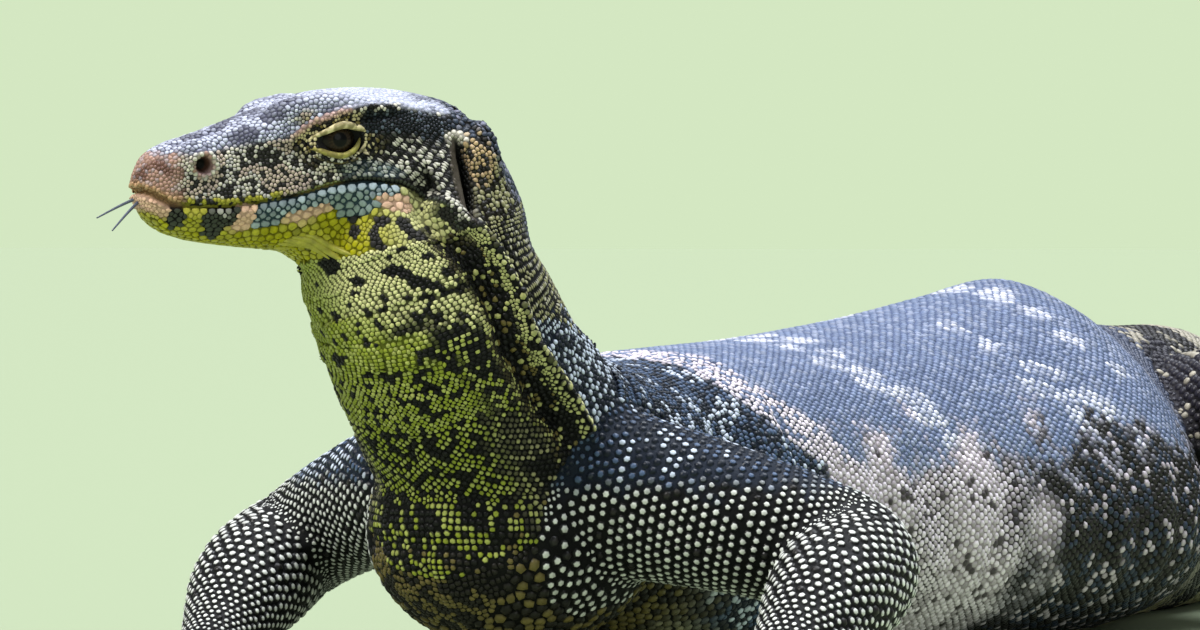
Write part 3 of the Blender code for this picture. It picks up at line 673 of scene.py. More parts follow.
LEGS = (
    Leg(Part.FORE_LEFT, LEFT,
        ((0.030, 0.020, 0.062), (0.074, 0.030, 0.052), (0.103, 0.043, 0.041), (0.112, 0.010, 0.031),
         (0.117, -0.026, 0.0155), (0.120, -0.040, 0.0095)),
        (0.0260, 0.0220, 0.0195, 0.0195, 0.0125, 0.0100), 12.0, 0.034, 0.0165, FINGERS),
    Leg(Part.FORE_RIGHT, RIGHT,
        ((-0.030, 0.026, 0.062), (-0.066, 0.044, 0.054), (-0.097, 0.057, 0.041), (-0.092, 0.020, 0.030),
         (-0.085, -0.010, 0.0155), (-0.082, -0.023, 0.0095)),
        (0.0260, 0.0205, 0.0185, 0.0185, 0.0125, 0.0100), 8.0, 0.034, 0.0165, FINGERS),
    Leg(Part.HIND_LEFT, LEFT,
        ((0.006, 0.486, 0.055), (0.056, 0.462, 0.068), (0.104, 0.430, 0.072), (0.124, 0.462, 0.045),
         (0.136, 0.500, 0.0190), (0.144, 0.490, 0.0120)),
        (0.0360, 0.0310, 0.0240, 0.0215, 0.0140, 0.0120), 38.0, 0.048, 0.0180, TOES),
    Leg(Part.HIND_RIGHT, RIGHT,
        ((-0.032, 0.486, 0.052), (-0.080, 0.466, 0.060), (-0.124, 0.444, 0.064), (-0.148, 0.478, 0.044),
         (-0.164, 0.514, 0.0190), (-0.172, 0.504, 0.0120)),
        (0.0360, 0.0310, 0.0240, 0.0215, 0.0140, 0.0120), -32.0, 0.048, 0.0180, TOES),
)
TRUNK = Tube(TRUNK_RINGS, 4, 0.92, 0.55)


def linked(name: str, data: bpy.types.ID) -> bpy.types.Object:
    """A new object of the scene that shows this mesh, light or camera.

    Args:
        name: Its name.
        data: What it shows.

    Returns:
        The object.
    """
    made = bpy.data.objects.new(name, data)
    bpy.context.scene.collection.objects.link(made)
    return made


def new_object(name: str, form: Form, smooth: bool = True) -> bpy.types.Object:
    """Object of this form, moved to the frame's origin.

    Args:
        name: Its name.
        form: Its mesh.
        smooth: Whether it is shaded smooth.

    Returns:
        The object.
    """
    data = bpy.data.meshes.new(name)
    data.from_pydata((form.points - REST).tolist(), [], form.faces)
    data.update()
    if smooth:
        data.shade_smooth()
    return linked(name, data)


def read_rows(items: bpy.types.bpy_prop_collection, name: str) -> Array:
    """The three numbers that each item holds under a name.

    Args:
        items: The mesh's vertices or their normals.
        name: Name of the numbers.

    Returns:
        A row for each item.
    """
    found = np.empty(len(items) * 3)
    items.foreach_get(name, found)
    return found.reshape(-1, 3)


def set_colours(data: bpy.types.Mesh, colours: Array) -> None:
    """Stores a colour for each point under the name that the materials read.

    Args:
        data: The mesh.
        colours: Linear red, green and blue for each point.
    """
    layer = data.color_attributes.new("markings", "FLOAT_COLOR", "POINT")
    four = np.ones((len(colours), 4), np.float32)
    four[:, :3] = colours
    layer.data.foreach_set("color", four.ravel())


# Finishes


@dataclass(frozen=True)
class Finish:
    """How a surface of the animal takes light.

    Attributes:
        name: Name of the material.
        roughness: Mean roughness.
        spread: How far the roughness wanders.
        grain: Size of the finest grain, in metres.
        bump: Height of the grain, in metres.
        mottle: How far the colour wanders, from 0 to 1.
        coat: Weight of the clear layer.
        specular: Strength of the plain gloss.
        plain: Colour where the mesh has no markings of its own.
    """

    name: str
    roughness: float = 0.42
    spread: float = 0.16
    grain: float = 0.0005
    bump: float = 0.00005
    mottle: float = 0.16
    coat: float = 0.0
    specular: float = 0.5
    plain: Tone | None = None

    def material(self) -> bpy.types.Material:
        """The finish as a material of nodes.

        Returns:
            The material.
        """
        made = bpy.data.materials.new(self.name)
        made.use_nodes = True
        tree = made.node_tree
        shader = tree.nodes["Principled BSDF"]
        link = tree.links.new
        place = tree.nodes.new("ShaderNodeTexCoord").outputs["Object"]

        def noise(size: float, detail: float) -> bpy.types.NodeSocket:
            """Noise with lumps of this size.

            Args:
                size: Size of the lumps.
                detail: Layers of finer lumps.

            Returns:
                Where the noise comes out.
            """
            node = tree.nodes.new("ShaderNodeTexNoise")
            node.inputs["Scale"].default_value = 1.0 / size
            node.inputs["Detail"].default_value = detail
            link(place, node.inputs["Vector"])
            return node.outputs["Fac"]

        def spread_to(source: bpy.types.NodeSocket, low: float, high: float) -> bpy.types.NodeSocket:
            """The noise's middle range stretched from low to high.

            Args:
                source: The noise.
                low: Least value.
                high: Greatest value.

            Returns:
                Where the stretched values come out.
            """
            node = tree.nodes.new("ShaderNodeMapRange")
            node.inputs["From Min"].default_value = 0.3
            node.inputs["From Max"].default_value = 0.7
            node.inputs["To Min"].default_value = low
            node.inputs["To Max"].default_value = high
            link(source, node.inputs["Value"])
            return node.outputs["Result"]

        shade = tree.nodes.new("ShaderNodeHueSaturation")
        lightness = spread_to(noise(self.grain * 3.0, 4.0), 1.0 - self.mottle, 1.0 + self.mottle)
        link(lightness, shade.inputs["Value"])
        if self.plain is None:
            own = tree.nodes.new("ShaderNodeAttribute")
            own.attribute_name = "markings"
            link(own.outputs["Color"], shade.inputs["Color"])
        else:
            shade.inputs["Color"].default_value = (*self.plain.linear, 1.0)
        link(shade.outputs["Color"], shader.inputs["Base Color"])
        low, high = self.roughness - self.spread, self.roughness + self.spread
        link(spread_to(noise(self.grain * 8.0, 3.0), low, high), shader.inputs["Roughness"])
        bump = tree.nodes.new("ShaderNodeBump")
        bump.inputs["Distance"].default_value = self.bump
        bump.inputs["Strength"].default_value = 1.0
        link(noise(self.grain, 3.0), bump.inputs["Height"])
        link(bump.outputs["Normal"], shader.inputs["Normal"])
        shader.inputs["Coat Weight"].default_value = self.coat
        shader.inputs["Coat Roughness"].default_value = 0.04
        shader.inputs["Specular IOR Level"].default_value = self.specular
        return made


SKIN = Finish("skin", 0.62, 0.12, 0.0006, 0.00012, 0.20, specular=0.12)
HEAD_SCALE = Finish("head_scale", 0.42, 0.14, 0.0004, 0.00005, 0.20, specular=0.26)
NECK_SCALE = Finish("neck_scale", 0.44, 0.14, 0.0005, 0.00006, 0.22, specular=0.24)
BODY_SCALE = Finish("body_scale", 0.40, 0.14, 0.0008, 0.00008, 0.22, specular=0.26)
LID_SKIN = Finish("lid_skin", 0.46, 0.14, 0.0005, 0.00014, 0.22, specular=0.3)
FRILL_SKIN = Finish("throat_frill_skin", 0.50, 0.14, 0.0007, 0.00015, 0.25, plain=Tone.CHIN_PALE)
EYE_WET = Finish("wet_eye", 0.20, 0.04, 0.0006, 0.0, 0.10, coat=0.12, specular=0.10)
TONGUE_WET = Finish("moist_tongue", 0.30, 0.10, 0.0006, 0.00005, 0.20, coat=0.4, plain=Tone.TONGUE)
CLAW_HORN = Finish("claw_horn", 0.34, 0.12, 0.0007, 0.00008, 0.30, coat=0.2, plain=Tone.CLAW_HORN)
DRUM_SKIN = Finish("ear_drum_skin", 0.50, 0.12, 0.0006, 0.00006, 0.20, plain=Tone.EARDRUM)


# Places and markings


@dataclass
class Places:
    """Where points are on the animal, in each part's own numbers.

    Attributes:
        points: The points, from the floor between the shoulders.
        normals: The skin's outward direction at each.
        part: Number of the body part at each.
        along: How far along the part's middle line each is.
        lift: Angle from the part's side, from -90 below to 90 above.
    """

    points: Array
    normals: Array
    part: Array
    along: Array
    lift: Array
    back: Array = field(init=False)
    out: Array = field(init=False)
    height: Array = field(init=False)

    def __post_init__(self) -> None:
        """Works out the places on the head, in millimetres."""
        back, out, height = head_numbers(self.points)
        self.back, self.out, self.height = back / MM, np.abs(out) / MM, height / MM

    def chosen(self, mask: Array) -> "Places":
        """Those of the places where the mask is true."""
        return Places(self.points[mask], self.normals[mask], self.part[mask], self.along[mask],
                      self.lift[mask])

    def noise(self, size: float, seed: int) -> Array:
        """Smooth noise at the points."""
        return value_noise(self.points, size, seed)


class BodyMap:
    """Tells which part of the body a point is on, and where on it."""

    CHUNK = 20000
    # What a metre from a middle line counts beside the distance in radii
    FAR_COST = 4.0
    # Where the hands and the feet begin beside the trunk, and what is then held against the trunk
    HANDS_OUT, HANDS_BACK = 0.066, 0.09
    FEET_OUT, FEET_FROM, FEET_TO = 0.082, 0.43, 0.62
    NOT_TRUNK = 100.0

    def __init__(self) -> None:
        """Gathers the middle lines of the trunk and the legs."""
        self.tubes = [TRUNK] + [leg.tube() for leg in LEGS]
        self.centres = np.vstack([tube.table[:, :3] for tube in self.tubes])
        self.radii = np.concatenate([tube.table[:, 3:6].mean(axis=1) for tube in self.tubes])
        self.sides = np.vstack([tube.side for tube in self.tubes])
        self.ups = np.vstack([tube.up for tube in self.tubes])
        self.along = np.concatenate([tube.along for tube in self.tubes])
        self.owner = np.concatenate([np.full(len(tube.along), n) for n, tube in enumerate(self.tubes)])

    def places(self, points: Array, normals: Array) -> Places:
        """Where these points are.

        Args:
            points: Points on the skin.
            normals: Outward directions there.

        Returns:
            Their places.
        """
        nearest = np.empty(len(points), int)
        for start in range(0, len(points), self.CHUNK):
            chunk = points[start:start + self.CHUNK]
            away = np.linalg.norm(chunk[:, None] - self.centres[None], axis=2)
            score = away / self.radii + away * self.FAR_COST
            x, y = np.abs(chunk[:, 0]), chunk[:, 1]
            beside = (y < self.HANDS_BACK) & (x > self.HANDS_OUT)
            beside |= (y > self.FEET_FROM) & (y < self.FEET_TO) & (x > self.FEET_OUT)
            score += self.NOT_TRUNK * (beside[:, None] & (self.owner == 0))
            nearest[start:start + self.CHUNK] = np.argmin(score, axis=1)
        offset = points - self.centres[nearest]
        rise = np.einsum("ij,ij->i", offset, self.ups[nearest])
        reach = np.abs(np.einsum("ij,ij->i", offset, self.sides[nearest]))
        part = self.owner[nearest]
        part[in_head(points)] = Part.HEAD.value
        return Places(points, normals, part, self.along[nearest], np.degrees(np.arctan2(rise, reach)))


class Paint:
    """Centre and rim colours of scales, laid on in coats."""

    def __init__(self, count: int, centre: Tone, rim: Tone | float) -> None:
        """Begins with one colour all over.

        Args:
            count: How many places.
            centre: Colour of the scales' middles.
            rim: Colour of their edges, or a share of the middle's.
        """
        self.centre = np.zeros((count, 3))
        self.rim = np.zeros((count, 3))
        self.lay(np.ones(count), centre, rim)

    def lay(self, mask: Array, centre: Tone, rim: Tone | float | None = None) -> None:
        """Lays a coat.

        Args:
            mask: How much of it lies at each place, from 0 to 1.
            centre: Colour of the scales' middles.
            rim: Colour of their edges, or a share of the middle's, or none to leave the edges.
        """
        weight = np.clip(mask.astype(float), 0.0, 1.0)[:, None]
        self.centre = self.centre * (1 - weight) + centre.linear * weight
        if rim is not None:
            edge = centre.linear * rim if isinstance(rim, float) else rim.linear
            self.rim = self.rim * (1 - weight) + edge * weight

    def seam(self, mask: Array, rim: Tone) -> None:
        """Lays a coat on the edges of the scales alone."""
        weight = np.clip(mask.astype(float), 0.0, 1.0)[:, None]
        self.rim = self.rim * (1 - weight) + rim.linear * weight


def oval(back: Array, height: Array, middle: tuple[float, float], reach: tuple[float, float]) -> Array:
    """How far places on the side of the head are from an oval's middle, where 1 is its edge."""
    return np.hypot((back - middle[0]) / reach[0], (height - middle[1]) / reach[1])


def spot(back: Array, height: Array, middle: tuple[float, float], reach: tuple[float, float],
         soft: float = 0.25) -> Array:
    """Mask of an oval patch on the side of the head, in millimetres."""
    return ramp(oval(back, height, middle, reach), 1.0 + soft, 1.0 - soft)


def nape_crest(back: Array, height: Array) -> Array:
    """Mask of the tubercles on the nape behind the ear's folds."""
    return ramp(back - 100.5 - 0.6 * np.maximum(165.0 - height, 0.0), 0.0, 2.5)


class Markings:
    """The animal's colours at any place, the same for skin and scales; some places carry painted sky sheen
    and some painted shade.
    """

    # The pale band behind the shoulder: its place along the body at each lift
    BAND_LIFT = (18.0, 30.0, 43.0, 54.0, 75.0, 90.0)
    BAND_PLACE = (0.130, 0.114, 0.101, 0.0925, 0.0900, 0.0890)
    # Ocelli: where their rows lie along Y, how far apart they are in a row, and half rows' distance
    OCELLI_ROWS = (0.172, 0.268, 0.338, 0.405)
    OCELLI_STEP, OCELLI_HALF = 0.0145, 0.0130
    TAIL_BANDS, BELLY_BARS = 0.068, 0.034

    def colours(self, at: Places) -> Paint:
        """Centre and rim colours there.

        Args:
            at: The places.

        Returns:
            The colours.
        """
        paint = Paint(len(at.points), Tone.BEAD_WHITE, Tone.BLACK)
        for mask, rule in (
            (at.part == Part.TRUNK.value, self.trunk),
            (np.isin(at.part, (1, 2)), self.arms),
            (np.isin(at.part, (3, 4)), self.hind_legs),
            (at.part == Part.HEAD.value, self.head),
        ):
            if mask.any():
                found = rule(at.chosen(mask))
                paint.centre[mask] = found.centre
                paint.rim[mask] = found.rim
        return paint

    def head(self, at: Places) -> Paint:
        """Crown with painted sky sheen, snout, cheeks, lips and chin, with painted shade in the nostrils and
        ear slits.

        Args:
            at: The places.

        Returns:
            The colours.
        """
        back, out, height = at.back, at.out, at.height
        fine = at.noise(0.0011, 11)
        patch = at.noise(0.0042, 12)
        above = height - mouth_height(back)
        paint = Paint(len(back), Tone.SIDE_GREY, Tone.SIDE_DARK)
        speckle = fine + 0.35 * (patch - 0.5)
        paint.lay(speckle > 0.54, Tone.CREAM)
        paint.lay(speckle < 0.41, Tone.SIDE_DARK)
        paint.lay((patch > 0.60) * (speckle > 0.43) * 0.5, Tone.SNOUT_PINK)
        cheek = ramp(back, 61, 68)
        streak = self.streaks(at)
        paint.lay(cheek, Tone.CHEEK, Tone.CHEEK_DARK)
        single = at.noise(0.0007, 41) + 0.4 * (streak - 0.5)
        paint.lay(cheek * (single < 0.56) * 0.6, Tone.CHEEK_DARK)
        paint.lay(cheek * (single < 0.46), Tone.CHEEK_DARK)
        top = self.top_of_head(at)
        # The crown and snout top take the pale colour, which holds painted sky sheen
        paint.lay(top, Tone.CROWN_WITH_SHEEN, Tone.CROWN_DARK)
        snout = ramp(back + 12.0 * (patch - 0.5), 68, 44)
        paint.seam(top * (1 - snout), Tone.CROWN_SEAM)
        paint.lay(top * (fine < 0.38) * (0.22 + 0.2 * snout), Tone.CROWN_DARK)
        paint.seam(top * snout * 0.8, Tone.SNOUT_SHADOW)
        paint.lay(top * snout * (fine < 0.46) * 0.55, Tone.CROWN_DARK, Tone.SNOUT_SHADOW)
        blotch = ramp(at.noise(0.0060, 15), 0.46, 0.36) * snout
        paint.lay(top * blotch * 0.75, Tone.SNOUT_SHADOW, Tone.SNOUT_SHADOW)
        self.brow(paint, at, top, fine)
        self.lower_jaw(paint, at, above, fine, patch)
        teal = spot(back, above, (66.0, 3.6), (9.0, 2.6), 0.3) * (out > 9)
        paint.lay(teal * 0.55, Tone.LIP_SHADOW, Tone.LIP_BLUE_DARK)
        paint.lay(teal * (fine < 0.45) * 0.6, Tone.TEMPLE)
        self.upper_lip(paint, back, above, fine)
        ragged = 5.0 * (patch - 0.5) + 2.0 * (fine - 0.5)
        tip = ramp(back + ragged, 13, 8) * ramp(above, -1.0, 0.5) * ramp(height + ragged, 163, 160)
        paint.lay(tip, Tone.SNOUT_PINK, 0.72)
        paint.lay(tip * ramp(patch, 0.44, 0.58) * 0.8, Tone.SNOUT_BROWN, 0.8)
        # Pale specks of the crown's colour, its painted sheen included, on the snout tip
        paint.lay(tip * (fine > 0.66) * 0.25, Tone.CROWN_WITH_SHEEN, 0.7)
        paint.lay(tip * ramp(above, 3.4, 2.0), Tone.LIP_ORANGE, 0.70)
        self.nostril(paint, back, height, out)
        self.ear(paint, at, fine)
        nape = ramp(back + 16.0 * (patch - 0.5) + 8.0 * (fine - 0.5), 84, 94) * ramp(height, 168, 172)
        crest = np.maximum(nape, nape_crest(back, height) * (height > 148))
        paint.lay(crest, Tone.NAPE_BLUE, Tone.BLACK)
        paint.lay(crest * (fine > 0.60), Tone.CROWN_DARK, Tone.BLACK)
        return paint

    def streaks(self, at: Places) -> Array:
        """Noise drawn out along the cheek's long scales.

        Args:
            at: The places.

        Returns:
            A value from 0 to 1 for each place.
        """
        slope = math.radians(HeadScales.CHEEK[2])
        along = at.back * math.cos(slope) + at.height * math.sin(slope)
        across = at.height * math.cos(slope) - at.back * math.sin(slope)
        side = np.sign(head_numbers(at.points)[1])
        return value_noise(np.stack([along / 2.4, across / 0.85, side * 9.0], axis=1), 1.0, 31)

    def top_of_head(self, at: Places) -> Array:
        """Mask of the crown and the top of the snout, which face up and take the pale colour with painted
        sky sheen.
        """
        edge = np.interp(at.back, CROWN_EDGE[:, 0], CROWN_EDGE[:, 1])
        return ramp(at.height, edge - 0.6, edge + 0.8) * ramp(at.normals[:, 2], -0.1, 0.15)

    def brow(self, paint: Paint, at: Places, top: Array, fine: Array) -> None:
        """Pink brow ridge, dark slate temple and the olive folds round the eye.

        Args:
            paint: The colours so far, which it changes.
            at: The places.
            top: Mask of the top of the head.
            fine: Noise with lumps of a millimetre.
        """
        back, height = at.back, at.height
        ring = oval(back, height, EYE_MIDDLE, (7.2, 5.0))
        around = ramp(ring, 2.1, 1.5) * (1 - top) * (at.out > 9)
        paint.lay(around, Tone.OLIVE, Tone.CHEEK_DARK)
        paint.lay(around * (fine > 0.56), Tone.LID)
        paint.lay(around * (fine < 0.46), Tone.CHEEK_DARK)
        paint.lay(around * ramp(height, 163, 160) * (fine > 0.46), Tone.CHEEK)
        band = ramp(np.abs(height - np.interp(back, (62, 78, 93), (171.6, 171.6, 168.0))), 4.4, 3.4)
        temple = band * ramp(back, 62.5, 65.5) * ramp(back, 99, 94) * (1 - top)
        paint.lay(temple, Tone.TEMPLE, Tone.BLACK)
        paint.lay(temple * (at.noise(0.0008, 34) > 0.66), Tone.TEMPLE_TIP)
        edge = np.interp(back, BROW_EDGE[:, 0], BROW_EDGE[:, 1])
        ridge = ramp(np.abs(height - edge - 0.4), 1.3, 0.6)
        paint.lay(ridge * ramp(back, 42, 46) * ramp(back, 63, 58) * 0.8, Tone.BROW_PINK, 0.55)
        teeth = ridge * ramp(back, 60, 63) * ramp(back, 80, 74)
        paint.lay(teeth * (fine < 0.5), Tone.BLACK, Tone.BLACK)
        paint.lay(teeth * (fine >= 0.5), Tone.CREAM, Tone.BLACK)

    def nostril(self, paint: Paint, back: Array, height: Array, out: Array) -> None:
        """Pale rim, flesh at the rear of the opening, and painted shade inside it: brown under the rim's top
        and black deeper in.

        Args:
            paint: The colours so far, which it changes.
            back: How far behind the snout tip, in millimetres.
            height: Height over the floor, in millimetres.
            out: How far from the head's middle, in millimetres.
        """
        side = out > 6
        away = oval(back, height, NOSTRIL_MIDDLE, (3.1, 2.8))
        rim = ramp(away, 1.60, 1.25) * side
        paint.lay(rim, Tone.SIDE_GREY, 0.6)
        grit = value_noise(np.stack([back, height, back], axis=1), 1.6, 35)
        paint.lay(rim * (grit > 0.48), Tone.CREAM, 0.6)
        paint.lay(rim * (grit < 0.40), Tone.SNOUT_PINK, 0.6)
        paint.lay(ramp(away, 1.10, 0.95) * side, Tone.NOSTRIL_FLESH, 0.55)
        # Painted shade of the opening: brown under the rim's top, black deeper in
        shade = oval(back + 0.5, height - 0.4, NOSTRIL_MIDDLE, (2.9, 2.5))
        paint.lay(ramp(shade, 1.10, 0.85) * side, Tone.SNOUT_BROWN, 0.5)
        within = oval(back + 0.7, height - 0.5, NOSTRIL_MIDDLE, (2.2, 1.9))
        paint.lay(ramp(within, 1.05, 0.75) * side, Tone.BLACK, Tone.BLACK)

    def upper_lip(self, paint: Paint, back: Array, above: Array, fine: Array) -> None:
        """Yellow-green line along the upper lip, blotched towards the snout.

        Args:
            paint: The colours so far, which it changes.
            back: How far behind the snout tip, in millimetres.
            above: Height over the mouth's line, in millimetres.
            fine: Noise with lumps of a millimetre.
        """
        lip = ramp(above, 2.8, 2.0) * (above > -0.2)
        front = ramp(back, 44, 38)
        paint.lay(lip * front * (fine > 0.46), Tone.CHIN_PALE, 0.6)
        paint.lay(lip * front * (fine < 0.38), Tone.SIDE_DARK)
        line = ramp(above, 1.25, 0.95) * (above > -0.2) * ramp(back, 38, 44)
        paint.lay(line, Tone.BAR, Tone.CHEEK_DARK)
        paint.lay(line * spot(back, above, (51.5, 0.5), (6.0, 2.0), 0.4), Tone.LIP_GREEN, Tone.OLIVE)

    def lower_jaw(self, paint: Paint, at: Places, above: Array, fine: Array, patch: Array) -> None:
        """Pink lips with dark bars, blue-grey plates, yellow-green chin and cream jaw corner.

        Args:
            paint: The colours so far, which it changes.
            at: The places.
            above: Height over the mouth's line, in millimetres.
            fine: Noise with lumps of a millimetre.
            patch: Noise with lumps of four millimetres.
        """
        back = at.back
        jaw = (above < 0.2) & (back < 100)
        paint.lay(jaw, Tone.CHIN, 0.34)
        paint.lay(jaw * (patch > 0.56) * 0.6, Tone.CHIN_PALE, 0.34)
        paint.lay(jaw * ramp(back, 62, 78), Tone.JAW_CREAM, 0.30)
        side = jaw * ramp(at.normals[:, 2], -0.80, -0.50)
        paint.lay(side * ramp(back, 9, 6) * ramp(above, -5.5, -4.0), Tone.SNOUT_PINK, 0.6)
        paint.lay(side * spot(back, above, (5.0, -1.6), (5.5, 2.6)), Tone.LIP_PINK, 0.6)
        paint.lay(side * spot(back, above, (14.6, -3.4), (4.0, 3.6)), Tone.CHIN_PALE, 0.65)
        outer = jaw * (at.out > 4)
        paint.lay(outer * spot(back, above, (29.4, -3.6), (4.4, 4.2)), Tone.LIP_PINK, 0.7)
        wander = 1.1 * (patch - 0.5) + 0.5 * (fine - 0.5)
        for middle, reach, drop, deep in ((9.6, 2.2, -3.0, 3.8), (22.2, 4.6, -3.0, 4.6)):
            bar = spot(back, above, (middle, drop), (reach, deep), 0.35)
            paint.lay(outer * (bar + wander * (bar > 0) > 0.30), Tone.BAR, Tone.BLACK)
        paint.lay(side * spot(back, above, (22.2, -2.4), (2.8, 1.6)) * (fine > 0.5), Tone.SIDE_GREY)
        pink = np.maximum(outer * spot(back, above, (48.6, -5.6), (6.6, 3.3), 0.1),
                          side * spot(back, above, (72.4, -5.2), (5.4, 3.1), 0.1))
        paint.lay(pink, Tone.LIP_PINK, 0.55)
        blue = np.maximum(outer * spot(back, above, (37.3, -3.6), (5.2, 4.2), 0.1),
                          side * spot(back, above, (55.0, -2.0), (19.0, 2.9), 0.1))
        paint.lay(blue > 0.5, Tone.LIP_BLUE, Tone.LIP_BLUE_DARK)
        paint.lay((blue > 0.5) * ramp(fine, 0.50, 0.38) * 0.4, Tone.TEMPLE)
        dim = side * spot(back, above, (61.0, -6.4), (6.4, 4.6), 0.1) * (patch > 0.40)
        paint.lay(dim > 0.5, Tone.LIP_SHADOW, Tone.LIP_BLUE_DARK)
        under = side * ramp(back, 44, 50) * ramp(back, 90, 76) * ramp(above, -9.0, -10.5)
        paint.lay(under * (patch > 0.66), Tone.SIDE_DARK, Tone.BLACK)
        dark = jaw * ramp(back, 70, 78) * (speck(at.points, 0.0030, 41) > 0.60)
        paint.lay(dark, Tone.SIDE_DARK, Tone.BLACK)
        paint.lay(jaw * ramp(back, 80, 84) * ramp(above, -7, -4) * (fine < 0.54), Tone.SIDE_DARK, Tone.BLACK)

    def ear(self, paint: Paint, at: Places, fine: Array) -> None:
        """Tan folds behind the ear, streaked nape above them, blue beads on the crest, and the ear slit
        painted black as its shade, with the drum's colour on its front part.

        Args:
            paint: The colours so far, which it changes.
            at: The places.
            fine: Noise with lumps of a millimetre.
        """
        back, height, out = at.back, at.height, at.out
        rear = ramp(back, 93, 97)
        paint.lay(rear, Tone.NAPE_DOT, Tone.NAPE)
        paint.lay(rear * (fine < 0.46), Tone.NAPE)
        crest = rear * ramp(at.normals[:, 2], 0.15, 0.40) * ramp(height, 162, 166)
        paint.lay(crest, Tone.NAPE_BLUE, Tone.BLACK)
        fold = spot(back, height, (98.0, 160.5), (5.4, 8.5), 0.2) * (out > 12)
        paint.lay(fold * (fine > 0.40), Tone.EAR_TAN, Tone.SIDE_DARK)
        paint.lay(fold * (fine < 0.36), Tone.SIDE_DARK)
        hood = spot(back, height, (92.4, 166.8), (3.4, 2.2), 0.2) * (out > 12)
        paint.lay(hood, Tone.CREAM, 0.4)
        # The slit is painted black as its shade; the drum's colour covers its front part
        shaded_slit = spot(back, height, EAR_MIDDLE, (3.3, 12.0), 0.12) * (out > 12)
        paint.lay(shaded_slit, Tone.BLACK, Tone.BLACK)
        paint.lay(shaded_slit * ramp(back, EAR_MIDDLE[0] + 0.6, EAR_MIDDLE[0] - 0.4), Tone.EARDRUM, 0.8)

    def trunk(self, at: Places) -> Paint:
        """Neck, shoulders, back, flanks, belly and tail.

        Args:
            at: The places.

        Returns:
            The colours.
        """
        paint = self.back(at)
        neck = ramp(at.along, 0.112, 0.094) > at.noise(0.004, 3)
        tail = ramp(at.points[:, 1], 0.435, 0.505) > at.noise(0.006, 4)
        for mask, rule in ((neck, self.neck), (tail, self.tail)):
            found = rule(at)
            paint.centre[mask] = found.centre[mask]
            paint.rim[mask] = found.rim[mask]
        return paint

    def neck(self, at: Places) -> Paint:
        """Yellow-green throat, cream and black sides, pale fold and dark nape, with the hollow before the
        fold darkened by painted shade.

        Args:
            at: The places.

        Returns:
            The colours.
        """
        fine = at.noise(0.0020, 13)
        grit = at.noise(0.0009, 33)
        z = at.points[:, 2]
        away, behind = fold_place(at.points)
        paint = Paint(len(z), Tone.THROAT, 0.30)
        paint.lay((grit > 0.54) * 0.4, Tone.THROAT_PALE)
        pale = ramp(z, 0.104, 0.118) * ramp(at.lift, -80, -50)
        paint.lay(pale * 0.9, Tone.THROAT_PALE, 0.16)
        paint.lay(pale * ramp(at.lift, -62, -40) * 0.7, Tone.FOLD_PALE, 0.10)
        paint.seam(ramp(z, 0.104, 0.094), Tone.BLACK)
        drawn = value_noise(at.points * (0.60, 0.60, 1.0), 0.0026, 14)
        spots = at.noise(0.0024, 36)
        upper = ramp(z, 0.114, 0.122)
        fleck = drawn * upper + spots * (1 - upper)
        share = np.interp(z, (0.060, 0.085, 0.100, 0.114, 0.124), (0.57, 0.62, 0.70, 0.74, 0.70))
        share = share - 0.09 * ramp(at.lift, -62, -48) * ramp(z, 0.09, 0.10)
        paint.lay(fleck > share, Tone.BLACK, Tone.BLACK)
        side = ramp(at.lift, -56, -44) * ramp(z, 0.119, 0.109)
        # The side's black reaches into the hollow before the fold, partly as painted shade
        side = np.maximum(side, ramp(away / MM, 15, 9) * (behind < 0.003) * ramp(z, 0.136, 0.128))
        paint.seam(side, Tone.BLACK)
        paint.lay(side * (0.5 * fine + 0.5 * grit < 0.55), Tone.BLACK, Tone.BLACK)
        low = ramp(z, 0.092, 0.070) * ramp(at.lift, -60, -44)
        paint.lay(low, Tone.NAPE_DOT, Tone.BLACK)
        paint.lay(low * (grit < 0.56), Tone.BLACK, Tone.BLACK)
        nape = ramp(behind / MM, -1.0, 1.0) * (at.lift > -30)
        paint.lay(nape, Tone.NAPE_DOT, Tone.BLACK)
        paint.lay(nape * (grit < 0.34), Tone.NAPE)
        paint.lay(nape * (grit > 0.60) * (fine > 0.45) * 0.6, Tone.CREAM)
        ridge_top = ramp(at.lift, 60, 72) * ramp(z, 0.118, 0.134)
        crest = nape * np.maximum(ridge_top, ramp(at.lift, 36, 50) * ramp(z, 0.146, 0.154))
        paint.lay(crest, Tone.NAPE_BLUE, Tone.BLACK)
        paint.lay(crest * (grit > 0.66), Tone.CROWN_DARK, Tone.BLACK)
        base = nape * (ramp(z, 0.122, 0.106) > fine)
        paint.lay(base * (grit >= 0.50), Tone.SHOULDER_BEAD, Tone.SHOULDER_DARK)
        paint.lay(base * (grit < 0.50), Tone.SHOULDER_DARK, Tone.SHOULDER_DARK)
        # Hollow before the fold: dim olive beads and black, the neck side's own dark colour deepened by
        # painted shade
        hollow = ramp(away / MM, 15, 11) * (behind < 0.001) * ramp(z, 0.142, 0.134)
        hollow = hollow * ramp(at.lift, -62, -52)
        paint.lay(hollow, Tone.OLIVE, Tone.BLACK)
        paint.lay(hollow * (grit > 0.62) * 0.7, Tone.THROAT_PALE, Tone.BLACK)
        paint.lay(hollow * (0.5 * grit + 0.5 * fine < 0.57), Tone.BLACK, Tone.BLACK)
        ridge = ramp(away / MM, 3.0, 2.4)
        broken = np.sin(z * math.tau / 0.0072) + 1.6 * (fine - 0.5) > -0.70
        paint.lay(ridge, Tone.BLACK, Tone.BLACK)
        paint.lay(ridge * broken, Tone.FOLD_GREEN, Tone.BLACK)
        paint.lay(ridge * broken * (behind / MM > 0.9), Tone.FOLD_PALE, Tone.BLACK)
        return paint

